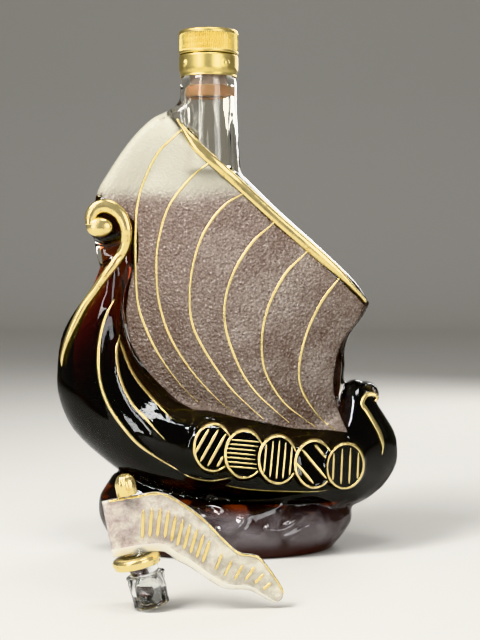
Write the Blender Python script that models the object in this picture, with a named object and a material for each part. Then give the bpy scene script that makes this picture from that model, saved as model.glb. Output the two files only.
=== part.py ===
"""Ship-shaped spirit decanter with a screw cap and a loose pennant stopper.

The bottle is one piece of moulded glass in the shape of a longship: neck, sail,
hull with a curled prow and stern, a row of shields, and a wave-shaped foot.  It
holds brandy, a pouring insert and a roll-on cap.  The pennant stopper stands in
front.  X runs from the prow (-) to the stern (+), Y is the depth, the front
is -Y, Z is up, and the origin is the centre of the foot's underside.

Lengths are in millimetres and become metres in make_object().
"""

import math

import bmesh
import bpy
import numpy as np
from mathutils import Matrix, Vector
from mathutils.bvhtree import BVHTree

MM = 0.001

# ---- clearances ---------------------------------------------------------------
SEAT_GAP = 0.3          # between a piece and what it rests on or is fired onto
FIT_GAP = 0.35          # between a plug and its bore
LIQUID_GAP = 0.6        # between the brandy and the glass
THREAD_GAP = 0.45       # between the two threads, beside and over the ridge

# ---- glass --------------------------------------------------------------------
WALL = 3.6              # wall of the hull and sail
FOOT_WALL = 5.0         # floor of the bottle
FILL_HEIGHT = 194.5     # brandy level above the table

# ---- neck and closure (a 31.5 x 24 roll-on finish) ------------------------------
NECK_X = -9.0
NECK_RADIUS = 15.2
BORE_RADIUS = 10.9
LIP_TOP = 276.1
FINISH_RADIUS = 13.7
BEAD_RADIUS = 14.6
THREAD_PITCH = 3.175
THREAD_HEIGHT = 1.1
THREAD_TURNS = 1.5
CAP_RADIUS = 16.0
CAP_WALL = 0.6
CAP_HEIGHT = 25.0       # closure with its tamper band
SHELL_HEIGHT = 13.0     # closure above the score line
SCORE_GAP = 0.4
BAND_GAP = 0.2          # between the tamper band's rolled-in hem and the neck's bead
LINER_THICK = 1.7
INSERT_LENGTH = 33.0
INSERT_WALL = 2.2
INSERT_RING = 7.0

# ---- foot -----------------------------------------------------------------------
FOOT_LENGTH = 120.0
FOOT_DEPTH = 76.0
FOOT_FLARE = 9.0        # how far the wave swells past the foot's bottom edge
FOOT_HEIGHT = 28.0
BOW_WAVE = 12.0         # extra height of the wave under the prow

# ---- hull and sail --------------------------------------------------------------
HULL_HALF_DEPTH = 37.0
SAIL_HALF_DEPTH = 21.0
LUFF_WEB = 0.13         # flat share of the sail's breadth behind the prow's curl
SAIL_RIM = 8.5          # half-depth along the luff, foot and leech
CURL_HALF_DEPTH = 11.6  # half-depth of the prow's curl
STERN_HALF_DEPTH = 9.0
SCROLL_CENTRE = (-63.4, 176.6)
SCROLL_RADIUS = 11.3
SHIELD_SIZE = (10.8, 12.9)
SHIELD_RISE = 1.6
GILT_THICK = 1.2
YARD_WIDTH = 4.6
PROW_BAND_WIDTH = 6.2
STERN_BAND_WIDTH = 2.2
CURL_BALL_RADIUS = 5.1

# ---- pennant stopper --------------------------------------------------------------
STOPPER_PLACE = (-31.4, -136.5)
STOPPER_LEAN = math.radians(12.4)
PENNANT_THICK = 6.0
SLEEVE_LENGTH = 14.3
SLEEVE_RADIUS = 8.8
SLEEVE_TAPER = 0.8
SLEEVE_WALL = 1.6
SLEEVE_RIBS = 12
SLEEVE_RIB_DEPTH = 0.3
SHANK_RADIUS = 6.6
COLLAR_RADIUS = 11.0
COLLAR_THICK = 4.9
COLLAR_BOTTOM = 18.4
COLLAR_OFFSET = 2.4     # the collar is set off towards the flag's hoist
MAST_RADIUS = 2.4
MAST_TOP = 54.5
FINIAL_RADIUS = 4.7
FINIAL_HEIGHT = 9.6
FINIAL_BOTTOM = 50.6

# Outlines of the ship seen from the side, as (X, Z) points that a smooth curve joins.
YARD_EDGE = ((-31.6, 236.1), (-13.7, 220.9), (9.6, 201.8), (29.7, 182.4), (45.9, 167.8),
             (62.2, 152.9), (72.0, 142.9), (78.5, 132.6))
LUFF_EDGE = ((-31.6, 236.1), (-40.8, 230.9), (-51.6, 219.8), (-62.5, 204.1), (-69.5, 191.1),
             (-71.1, 173.0), (-68.4, 154.8), (-59.8, 134.2), (-52.5, 112.0), (-43.1, 94.4),
             (-22.0, 69.0))
LEECH_EDGE = ((78.5, 132.6), (73.5, 123.6), (67.5, 115.6), (64.8, 106.6), (64.8, 98.0),
              (64.0, 88.1), (64.3, 73.0), (65.0, 55.0))
FOOT_EDGE = ((-22.0, 69.0), (-4.0, 65.0), (14.0, 60.5), (35.0, 56.5), (65.0, 55.0))

# Hull stations from the stem to the stern post: keel X and Z, deck X and Z, share of depth.
HULL_STATIONS = (
    (-66.5, 155.5, -56.0, 157.5, 0.243), (-72.8, 140.7, -55.0, 141.0, 0.262),
    (-82.0, 128.2, -53.2, 125.5, 0.31), (-89.0, 114.1, -50.6, 112.0, 0.39),
    (-91.4, 96.3, -45.0, 100.5, 0.50), (-90.6, 82.7, -38.6, 91.5, 0.61),
    (-84.1, 66.4, -30.0, 83.0, 0.74), (-72.2, 53.4, -20.0, 78.0, 0.86),
    (-52.7, 38.5, -6.4, 76.0, 0.95), (-28.0, 26.0, 8.0, 72.5, 0.99),
    (0.0, 20.0, 21.0, 69.5, 1.0), (30.0, 18.5, 36.0, 67.0, 0.985),
    (57.0, 20.0, 50.0, 66.0, 0.92), (74.0, 24.5, 60.0, 70.0, 0.80),
    (87.0, 34.5, 63.0, 79.0, 0.62), (93.8, 47.5, 65.5, 88.0, 0.44),
    (92.6, 61.0, 69.0, 91.0, 0.31), (86.5, 72.0, 73.0, 91.0, 0.243),
)
STERN_CURL_CENTRE = (76.6, 83.6)
STERN_CURL_RADIUS = 6.4
SHIELD_PLACES = ((-5.9, 58.9), (10.3, 55.6), (27.7, 52.7), (46.6, 50.2), (63.2, 48.6))

YARD_BAND = ((-25.4, 230.1), (-18.5, 220.0), (-13.2, 214.1), (-2.6, 204.4), (8.0, 195.3),
             (29.2, 175.8), (50.6, 157.9), (61.3, 148.6), (72.1, 137.9), (75.4, 134.2))
PROW_BAND = ((-71.6, 177.2), (-69.8, 182.5), (-66.6, 184.4), (-62.8, 184.7), (-58.6, 182.8),
             (-55.1, 179.3), (-52.8, 172.9), (-53.0, 166.6), (-54.9, 160.7), (-59.1, 154.3),
             (-64.4, 147.4), (-69.8, 139.9), (-75.6, 131.9), (-80.4, 122.9), (-84.7, 113.3),
             (-87.4, 104.8), (-87.9, 98.9))
PROW_BALL = (-65.5, 173.5)
STERN_BAND = ((80.8, 79.9), (81.9, 82.2), (79.5, 83.9), (75.5, 83.4), (73.4, 79.4),
              (76.4, 74.5), (79.7, 69.1), (82.8, 63.4), (84.6, 56.8), (84.0, 52.0))
PENNANT_TOP = ((-12.7, 50.3), (13.6, 49.3), (22.4, 43.2), (30.1, 34.6), (36.4, 22.2),
               (43.8, 12.2), (50.4, 9.6), (57.4, -3.0), (57.6, -13.4))
PENNANT_FOOT = ((-13.2, 23.9), (10.6, 23.9), (15.6, 16.9), (25.7, 6.7), (36.0, -1.0),
                (44.0, -4.6), (50.6, -10.6), (57.0, -14.2))


# ---- helpers ----------------------------------------------------------------------
def smooth_path(points, count):
    """Return count points, evenly spaced along a Catmull-Rom curve through points."""
    nodes = np.array(points, dtype=float)
    ends = np.vstack([2 * nodes[0] - nodes[1], nodes, 2 * nodes[-1] - nodes[-2]])
    spans = len(nodes) - 1
    t = np.linspace(0.0, spans, spans * 24 + 1)
    index = np.minimum(t.astype(int), spans - 1)
    local = (t - index)[:, None]
    before, start, end, after = (ends[index + shift] for shift in range(4))
    curve = 0.5 * (2 * start + (end - before) * local
                   + (2 * before - 5 * start + 4 * end - after) * local ** 2
                   + (3 * start - before - 3 * end + after) * local ** 3)
    steps = np.concatenate([[0.0], np.cumsum(np.linalg.norm(np.diff(curve, axis=0), axis=1))])
    wanted = np.linspace(0.0, steps[-1], count)
    return np.column_stack([np.interp(wanted, steps, column) for column in curve.T])


def lerp(start, end, share):
    """Blend two values or arrays."""
    return start + (end - start) * share


def make_material(name, colour, roughness, metallic=0.0, alpha=1.0):
    """Return a Principled material."""
    material = bpy.data.materials.new(name)
    material.use_nodes = True
    shader = material.node_tree.nodes["Principled BSDF"]
    shader.inputs["Base Color"].default_value = (*colour, 1.0)
    shader.inputs["Roughness"].default_value = roughness
    shader.inputs["Metallic"].default_value = metallic
    shader.inputs["Alpha"].default_value = alpha
    material.diffuse_color = (*colour, alpha)
    return material


def make_object(name, vertices, faces, material=None):
    """Make a closed mesh object from points in millimetres."""
    mesh = bpy.data.meshes.new(name)
    mesh.from_pydata([tuple(point) for point in np.array(vertices) * MM], [], faces)
    tidy = bmesh.new()
    tidy.from_mesh(mesh)
    bmesh.ops.recalc_face_normals(tidy, faces=tidy.faces)
    tidy.to_mesh(mesh)
    tidy.free()
    item = bpy.data.objects.new(name, mesh)
    bpy.context.scene.collection.objects.link(item)
    if material:
        mesh.materials.append(material)
    mesh.shade_smooth()
    mesh.set_sharp_from_angle(angle=math.radians(35))
    return item


def loft(rings):
    """Join equal closed rings of points into a solid, its ends closed by fans."""
    rings = np.array(rings, dtype=float)
    count, size = rings.shape[:2]
    hubs = np.array([rings[0].mean(axis=0), rings[-1].mean(axis=0)])
    last = (count - 1) * size
    faces = []
    for step in range(size):
        after = (step + 1) % size
        for ring in range(0, last, size):
            faces.append((ring + step, ring + after, ring + size + after))
            faces.append((ring + step, ring + size + after, ring + size + step))
        faces.append((after, step, count * size))
        faces.append((last + step, last + after, count * size + 1))
    return np.vstack([rings.reshape(-1, 3), hubs]), faces


def closed_loft(rings):
    """Join equal closed rings of points, the last back to the first, into a tube."""
    rings = np.array(rings, dtype=float)
    count, size = rings.shape[:2]
    faces = []
    for ring in range(count):
        above = (ring + 1) % count
        for step in range(size):
            after = (step + 1) % size
            faces.append((ring * size + step, ring * size + after,
                          above * size + after, above * size + step))
    return rings.reshape(-1, 3), faces


def turned(profile, segments, centre=(0.0, 0.0)):
    """Revolve a closed (radius, z) outline about a vertical axis."""
    rings = []
    for angle in np.linspace(0.0, 2 * math.pi, segments, endpoint=False):
        rings.append([(centre[0] + radius * math.cos(angle),
                       centre[1] + radius * math.sin(angle), height)
                      for radius, height in profile])
    return closed_loft(rings)


def cylinder(radius_low, radius_high, bottom, top, segments, centre=(0.0, 0.0)):
    """Return an upright cone or cylinder."""
    angles = np.linspace(0.0, 2 * math.pi, segments, endpoint=False)
    rings = []
    for radius, height in ((radius_low, bottom), (radius_high, top)):
        rings.append(np.column_stack([centre[0] + radius * np.cos(angles),
                                      centre[1] + radius * np.sin(angles),
                                      np.full(segments, height)]))
    return loft(rings)


def combine(target, tool, operation="UNION"):
    """Apply a Boolean to target and remove the tool."""
    modifier = target.modifiers.new(operation.title(), "BOOLEAN")
    modifier.operation = operation
    modifier.solver = "EXACT"
    modifier.object = tool
    graph = bpy.context.evaluated_depsgraph_get()
    result = bpy.data.meshes.new_from_object(target.evaluated_get(graph))
    target.modifiers.clear()
    target.data = result
    bpy.data.objects.remove(tool)


def shape(solid, name="tool"):
    """Make an unnamed working solid from (vertices, faces)."""
    return make_object(name, *solid)


# ---- bottle body ---------------------------------------------------------------------
def sail_surface(across, down, inset=0.0):
    """Return X, half-depth and Z of the sail at shares across (luff to leech) and down."""
    fine = 161
    top = smooth_path(YARD_EDGE, fine)
    bottom = smooth_path(FOOT_EDGE, fine)
    left = smooth_path(LUFF_EDGE, fine)
    right = smooth_path(LEECH_EDGE, fine)
    share = np.linspace(0.0, 1.0, fine)

    def at(path, value):
        return np.stack([np.interp(value, share, path[:, axis]) for axis in (0, 1)], axis=-1)

    u, v = np.broadcast_arrays(across, down)
    width = 140.0
    u_in = lerp(inset / width, 1.0 - inset / width, u)
    v_in = lerp(inset / width, 1.0, v)
    wide, tall = u_in[..., None], v_in[..., None]
    corners = ((1 - wide) * (1 - tall) * top[0] + wide * (1 - tall) * top[-1]
               + (1 - wide) * tall * bottom[0] + wide * tall * bottom[-1])
    place = ((1 - tall) * at(top, u_in) + tall * at(bottom, u_in)
             + (1 - wide) * at(left, v_in) + wide * at(right, v_in) - corners)
    belly = (np.sin(math.pi * np.clip((u_in - LUFF_WEB) / (0.98 - LUFF_WEB), 0, 1)) ** 0.9
             * np.sin(math.pi * np.clip(0.12 + 0.8 * v_in, 0, 1)) ** 0.8)
    throat = np.exp(-((place[..., 0] - NECK_X) / 22.0) ** 2
                    - ((place[..., 1] - 222.0) / 24.0) ** 2)
    depth = SAIL_RIM + (SAIL_HALF_DEPTH - SAIL_RIM) * belly
    depth = np.maximum(depth, lerp(depth, NECK_RADIUS + 1.2, throat)) - inset
    return place[..., 0], depth, place[..., 1]


def sail_solid(inset, columns=12, rows=12):
    """The sail: two bellied faces joined round a rounded edge."""
    u = np.linspace(0.0, 1.0, columns)
    v = np.linspace(0.0, 1.0, rows)
    x, depth, z = sail_surface(u[None, :], v[:, None], inset)
    border = np.zeros((rows, columns), bool)
    border[0, :] = border[-1, :] = border[:, 0] = border[:, -1] = True
    edge_depth = np.where(border, depth * 0.62, depth)
    front = np.stack([x, -edge_depth, z], axis=-1).reshape(-1, 3)
    back = np.stack([x, edge_depth, z], axis=-1).reshape(-1, 3)
    total = rows * columns
    faces = []
    for row in range(rows - 1):
        for column in range(columns - 1):
            corner = row * columns + column
            for trio in ((corner, corner + 1, corner + columns + 1),
                         (corner, corner + columns + 1, corner + columns)):
                faces.append(trio)
                faces.append(tuple(total + index for index in reversed(trio)))
    loop = ([column for column in range(columns)]
            + [row * columns + columns - 1 for row in range(1, rows)]
            + [(rows - 1) * columns + column for column in range(columns - 2, -1, -1)]
            + [row * columns for row in range(rows - 2, 0, -1)])
    for here, after in zip(loop, loop[1:] + loop[:1]):
        faces.append((here, after, total + after, total + here))
    return np.vstack([front, back]), faces


def hull_sections(inset, stations=24, points=10):
    """Return the hull's rings: each runs down one side and up the other."""
    table = smooth_path(HULL_STATIONS, stations)
    keel, deck, share = table[:, 0:2], table[:, 2:4], table[:, 4]
    span = np.linalg.norm(keel - deck, axis=1)[:, None]
    keel_in = keel + (deck - keel) * (inset / span)
    deck_in = deck + (keel - deck) * (inset / span)
    depth = HULL_HALF_DEPTH * share - inset
    down = np.linspace(0.0, 1.0, points)
    amidships = np.sin(math.pi * np.linspace(0.0, 1.0, stations)) ** 2
    rings = []
    for index in range(stations):
        line = lerp(deck_in[index][None, :], keel_in[index][None, :], down[:, None])
        profile = np.sin(math.pi * down ** 0.72) ** lerp(0.72, 0.42, amidships[index])
        profile[0] = 0.42
        profile[-1] = 0.10
        side = depth[index] * profile
        front = np.column_stack([line[:, 0], -side, line[:, 1]])
        back = np.column_stack([line[:, 0], side, line[:, 1]])[::-1]
        rings.append(np.vstack([front, back]))
    if inset:
        rings = rings[1:-1]
        for end, beside in ((0, 1), (-1, -2)):
            gap = np.linalg.norm(rings[end].mean(axis=0) - rings[beside].mean(axis=0))
            rings[end] = lerp(rings[end], rings[beside], (inset - WALL) / gap)
    return rings


def foot_solid(inset):
    """The wave-shaped foot: oval rings that swell, then draw in under the hull."""
    segments = 32
    angles = np.linspace(0.0, 2 * math.pi, segments, endpoint=False)
    levels = ((0.0, -2.2, -2.2), (2.2, 0.0, 0.0), (9.0, 0.6 * FOOT_FLARE, 1.0),
              (16.0, FOOT_FLARE, 0.5), (22.0, 0.85 * FOOT_FLARE, -3.0),
              (FOOT_HEIGHT, 0.1 * FOOT_FLARE, -9.0))
    rings = []
    for height, longer, deeper in levels:
        half_length = 0.5 * FOOT_LENGTH + longer - inset
        half_depth = 0.5 * FOOT_DEPTH + deeper - inset
        x = half_length * np.cos(angles)
        y = half_depth * np.sin(angles)
        lift = BOW_WAVE * (height / FOOT_HEIGHT) ** 2 * np.clip(-x / half_length, 0, 1) ** 2
        floor = FOOT_WALL + inset - WALL if inset else 0.0
        z = floor + (height + lift) * (FOOT_HEIGHT - 2 * floor) / FOOT_HEIGHT
        rings.append(np.column_stack([x, y, z]))
    return loft(rings)


def plate(centre, radius, half_depth, segments=24):
    """A disc standing in the side view, centred on Y = 0."""
    angles = np.linspace(0.0, 2 * math.pi, segments, endpoint=False)
    rings = []
    for share, y in ((0.86, -half_depth), (1.0, -0.75 * half_depth),
                     (1.0, 0.75 * half_depth), (0.86, half_depth)):
        rings.append(np.column_stack([centre[0] + share * radius * np.cos(angles),
                                      np.full(segments, y),
                                      centre[1] + share * radius * np.sin(angles)]))
    return loft(rings)


def side_depth(x, z):
    """Half-depth of the hull's side at a place in the side view."""
    rings = np.array(hull_sections(0.0, stations=120, points=60))
    front = rings[:, :60]
    nearest = np.argmin((front[..., 0] - x) ** 2 + (front[..., 2] - z) ** 2)
    return -front.reshape(-1, 3)[nearest, 1]


def shield_solid(place, side):
    """One round shield of the row: a shallow dome on the hull's side."""
    depth = side_depth(*place)
    reach = 6.0
    turn = (side_depth(place[0] + reach, place[1]) - side_depth(place[0] - reach, place[1]))
    tilt = (side_depth(place[0], place[1] + reach) - side_depth(place[0], place[1] - reach))
    angles = np.linspace(0.0, 2 * math.pi, 16, endpoint=False)
    rings = []
    for share, rise in ((1.0, -4.0), (1.0, 0.6 * SHIELD_RISE), (0.8, SHIELD_RISE)):
        x = share * SHIELD_SIZE[0] * np.cos(angles)
        z = share * SHIELD_SIZE[1] * np.sin(angles)
        y = side * (depth + rise + (turn * x + tilt * z) / (2 * reach))
        rings.append(np.column_stack([place[0] + x, y, place[1] + z]))
    return loft(rings)


def neck_profile():
    """Outline of the neck and finish: radius and height."""
    return (
        (1.2 * NECK_RADIUS, 206.0), (1.1 * NECK_RADIUS, 213.0), (1.04 * NECK_RADIUS, 226.0),
        (NECK_RADIUS, 243.0), (NECK_RADIUS, LIP_TOP - 24.0), (NECK_RADIUS - 0.8, LIP_TOP - 21.9),
        (BEAD_RADIUS - 0.9, LIP_TOP - 21.4), (BEAD_RADIUS, LIP_TOP - 14.6),
        (BEAD_RADIUS, LIP_TOP - 12.6), (FINISH_RADIUS, LIP_TOP - 11.6),
        (FINISH_RADIUS, LIP_TOP - 1.0), (FINISH_RADIUS - 0.8, LIP_TOP),
    )


def neck_solid():
    """The neck, filled, down into the sail's head."""
    segments = 32
    angles = np.linspace(0.0, 2 * math.pi, segments, endpoint=False)
    rings = [np.column_stack([NECK_X + radius * np.cos(angles), radius * np.sin(angles),
                              np.full(segments, height)]) for radius, height in neck_profile()]
    return loft(rings)


def helix_ridge(root, crest, bottom, turns, flank_low, flank_high, start=0.0):
    """A screw ridge of four-sided section about the neck's axis."""
    steps = int(turns * 24)
    rings = []
    for step in range(steps + 1):
        angle = start + step * 2 * math.pi / 24
        height = bottom + THREAD_PITCH * step / 24
        taper = min(1.0, min(step, steps - step) / 4.0)
        reach = lerp(root, crest, max(0.15, taper))
        corners = ((root, height - flank_low), (reach, height - flank_high),
                   (reach, height + flank_high), (root, height + flank_low))
        rings.append([(NECK_X + radius * math.cos(angle), radius * math.sin(angle), z)
                      for radius, z in corners])
    return loft(rings)


def bottle_body(inset):
    """Hull, sail and foot as one solid, drawn in by inset."""
    body = shape(loft(hull_sections(inset)))
    combine(body, shape(sail_solid(inset)))
    combine(body, shape(foot_solid(inset)))
    return body


def build_bottle(material):
    """The moulded glass with its relief, neck thread and hollow inside."""
    body = bottle_body(0.0)
    combine(body, shape(plate(SCROLL_CENTRE, SCROLL_RADIUS, CURL_HALF_DEPTH)))
    combine(body, shape(plate(STERN_CURL_CENTRE, STERN_CURL_RADIUS, STERN_HALF_DEPTH)))
    for place in SHIELD_PLACES:
        for side in (-1, 1):
            combine(body, shape(shield_solid(place, side)))
    combine(body, shape(neck_solid()))
    combine(body, shape(helix_ridge(FINISH_RADIUS - 0.5, FINISH_RADIUS + THREAD_HEIGHT,
                                    LIP_TOP - 8.2, THREAD_TURNS, 0.8, 0.4)))
    combine(body, bottle_body(WALL), "DIFFERENCE")
    combine(body, shape(cylinder(BORE_RADIUS, BORE_RADIUS, 190.0, LIP_TOP + 5.0, 32,
                                 (NECK_X, 0.0))), "DIFFERENCE")
    body.name = "bottle_glass"
    body.data.materials.clear()
    body.data.materials.append(material)
    return body


def build_brandy(material):
    """The liquid: the hollow drawn in by a hair's gap, cut level at the fill height."""
    liquid = bottle_body(WALL + LIQUID_GAP)
    box = shape(loft([[(x, y, z) for x, y in ((-150, -80), (150, -80), (150, 80), (-150, 80))]
                      for z in (FILL_HEIGHT, FILL_HEIGHT + 100)]))
    combine(liquid, box, "DIFFERENCE")
    liquid.name = "brandy"
    liquid.data.materials.clear()
    liquid.data.materials.append(material)
    return liquid


# ---- gilding ---------------------------------------------------------------------------
def glass_depth(tree, x, z):
    """How far the bottle's front face stands from Y = 0 at a place in the side view."""
    start = Vector((x * MM, -1.0, z * MM))
    hit = tree.ray_cast(start, Vector((0.0, 1.0, 0.0)))[0]
    return -hit.y / MM if hit else 0.0


def band_solid(tree, path, widths, side):
    """A raised gilt band over a path in the side view, laid on the glass under it."""
    points = smooth_path(path, len(widths))
    along = np.gradient(points, axis=0)
    along /= np.linalg.norm(along, axis=1)[:, None]
    across = np.column_stack([-along[:, 1], along[:, 0]])
    under = []
    for point, sideways, width in zip(points, across, widths):
        places = [point + sideways * width * share for share in np.linspace(-0.6, 0.6, 7)]
        under.append(max(glass_depth(tree, *place) for place in places))
    under = np.array(under)
    padded = np.pad(under, 1, mode="edge")
    under = np.maximum(under, np.maximum(padded[:-2], padded[2:]))
    rings = []
    for point, sideways, width, depth in zip(points, across, widths, under):
        low, high = depth + SEAT_GAP, depth + SEAT_GAP + GILT_THICK
        ring = []
        for share, y in ((-0.5, low), (-0.5, lerp(low, high, 0.6)), (-0.28, high),
                         (0.28, high), (0.5, lerp(low, high, 0.6)), (0.5, low)):
            place = point + sideways * share * width
            ring.append((place[0], side * y, place[1]))
        rings.append(ring)
    return loft(rings)


def build_yard(tree, side, name, material):
    """The gilded yard along the sail's upper edge."""
    share = np.linspace(0.0, 1.0, 24)
    widths = YARD_WIDTH * np.clip(np.sin(math.pi * (0.06 + 0.9 * share)) ** 0.5, 0.2, 1.0)
    make_object(name, *band_solid(tree, YARD_BAND, widths, side), material)


def build_prow(tree, side, name, material):
    """The gilded curl with its ball, and the band down the stem."""
    share = np.linspace(0.0, 1.0, 34)
    widths = PROW_BAND_WIDTH * (1.05 - 0.45 * share)
    band = make_object(name, *band_solid(tree, PROW_BAND, widths, side), material)
    low = CURL_HALF_DEPTH + SEAT_GAP
    segments = 20
    angles = np.linspace(0.0, 2 * math.pi, segments, endpoint=False)
    rings = [np.column_stack([PROW_BALL[0] + share * CURL_BALL_RADIUS * np.cos(angles),
                              np.full(segments, side * (low + rise)),
                              PROW_BALL[1] + share * CURL_BALL_RADIUS * np.sin(angles)])
             for share, rise in ((1.0, 0.0), (1.0, 0.75 * GILT_THICK), (0.75, 1.4 * GILT_THICK))]
    combine(band, shape(loft(rings)))
    band.data.materials.clear()
    band.data.materials.append(material)


def build_stern(tree, side, name, material):
    """The gilded hook on the stern post."""
    widths = np.full(20, STERN_BAND_WIDTH)
    make_object(name, *band_solid(tree, STERN_BAND, widths, side), material)


# ---- closure ---------------------------------------------------------------------------
def build_cap(material):
    """Aluminium shell with a knurled wall, a rounded top edge and a rolled-in thread."""
    top = LIP_TOP + SEAT_GAP + LINER_THICK + SEAT_GAP + CAP_WALL
    bottom = top - SHELL_HEIGHT
    inner = CAP_RADIUS - CAP_WALL
    profile = ((CAP_RADIUS - 1.4, top), (CAP_RADIUS - 0.4, top - 0.4),
               (CAP_RADIUS, top - 1.4), (CAP_RADIUS, bottom), (inner, bottom),
               (inner, top - 1.5), (inner - 0.8, top - CAP_WALL))
    shell = make_object("cap_shell", *turned(profile, 40, (NECK_X, 0.0)), material)
    lid = shape(cylinder(CAP_RADIUS - 1.3, CAP_RADIUS - 1.3, top - CAP_WALL, top, 40,
                         (NECK_X, 0.0)))
    combine(shell, lid)
    crest = FINISH_RADIUS + THREAD_GAP
    ridge_bottom = LIP_TOP - 8.2 + 0.5 * THREAD_PITCH
    combine(shell, shape(helix_ridge(inner + 0.3, crest, ridge_bottom, 1.25, 0.55, 0.28)))
    shell.data.materials.clear()
    shell.data.materials.append(material)
    return shell


def build_liner(material):
    """The wad that seals on the lip."""
    bottom = LIP_TOP + SEAT_GAP
    radius = CAP_RADIUS - CAP_WALL - 1.2
    return make_object("cap_liner", *cylinder(radius, radius, bottom, bottom + LINER_THICK, 40,
                                              (NECK_X, 0.0)), material)


def build_tamper_band(material):
    """The ring that stays on the neck under the score line."""
    top = LIP_TOP + SEAT_GAP + LINER_THICK + SEAT_GAP + CAP_WALL
    upper = top - SHELL_HEIGHT - SCORE_GAP
    lower = top - CAP_HEIGHT
    hem = BEAD_RADIUS + BAND_GAP
    profile = ((CAP_RADIUS - 0.3, upper), (CAP_RADIUS, upper - 0.8), (CAP_RADIUS, lower + 2.4),
               (hem + 0.5, lower), (hem, lower),
               (CAP_RADIUS - 0.7, lower + 2.6), (CAP_RADIUS - 0.7, upper - 0.8),
               (CAP_RADIUS - 0.9, upper))
    return make_object("tamper_band", *turned(profile, 40, (NECK_X, 0.0)), material)


def build_pouring_insert(material):
    """The plug pressed into the neck: a thin sleeve that ends in a thick copper ring."""
    outer = BORE_RADIUS - FIT_GAP
    low = LIP_TOP - INSERT_LENGTH
    thin = outer - 0.8
    profile = ((outer, low), (outer, low + INSERT_RING), (thin, low + INSERT_RING + 1.0),
               (thin, LIP_TOP - 4.0), (outer, LIP_TOP - 3.0), (outer, LIP_TOP - 0.4),
               (outer - INSERT_WALL, LIP_TOP - 0.4), (outer - INSERT_WALL, low + 1.5),
               (outer - INSERT_WALL + 0.8, low))
    return make_object("pouring_insert", *turned(profile, 32, (NECK_X, 0.0)), material)


# ---- stopper ---------------------------------------------------------------------------
def stopper_place():
    """World placement of the stopper: upright axis leaned over, lowest rim on the table."""
    low_rim = (SLEEVE_RADIUS - SLEEVE_TAPER) * math.sin(STOPPER_LEAN)
    move = Matrix.Translation((STOPPER_PLACE[0] * MM, STOPPER_PLACE[1] * MM,
                               (low_rim + SEAT_GAP) * MM))
    return move @ Matrix.Rotation(-STOPPER_LEAN, 4, "Y")


def stopper_object(name, solid, material):
    """Make a stopper piece in its upright frame and lean it into place."""
    item = make_object(name, *solid, material)
    item.data.transform(stopper_place())
    return item


def pennant_solid():
    """The waving flag: a plate between two edges, swung gently out of its plane."""
    count = 26
    upper = smooth_path(PENNANT_TOP, count)
    lower = smooth_path(PENNANT_FOOT, count)
    share = np.linspace(0.0, 1.0, count)
    swing = 2.2 * np.sin(2 * math.pi * share * 1.3) * share
    rings = []
    for high, low, wave in zip(upper, lower, swing):
        half = 0.5 * PENNANT_THICK
        middle = 0.5 * (high + low)
        ring = [(low[0], wave - 0.5 * half, low[1]), (middle[0], wave - half, middle[1]),
                (high[0], wave - 0.5 * half, high[1]), (high[0], wave + 0.5 * half, high[1]),
                (middle[0], wave + half, middle[1]), (low[0], wave + 0.5 * half, low[1])]
        rings.append(ring)
    return loft(rings)


def oval_ring(radius, height, set_off=0):
    """A ring of the collar, moved off the shank's axis by the collar's offset."""
    angles = np.linspace(0.0, 2 * math.pi, 32, endpoint=False)
    return np.column_stack([radius * np.cos(angles) - set_off * COLLAR_OFFSET,
                            radius * np.sin(angles), np.full(len(angles), height)])


def ribbed_ring(radius, height, depth=0.0):
    """A ring of the sleeve, its flutes cut to a depth."""
    angles = np.linspace(0.0, 2 * math.pi, SLEEVE_RIBS * 4, endpoint=False)
    size = radius - depth * (1.0 - np.cos(SLEEVE_RIBS * angles))
    return np.column_stack([size * np.cos(angles), size * np.sin(angles),
                            np.full(len(angles), height)])


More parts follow.
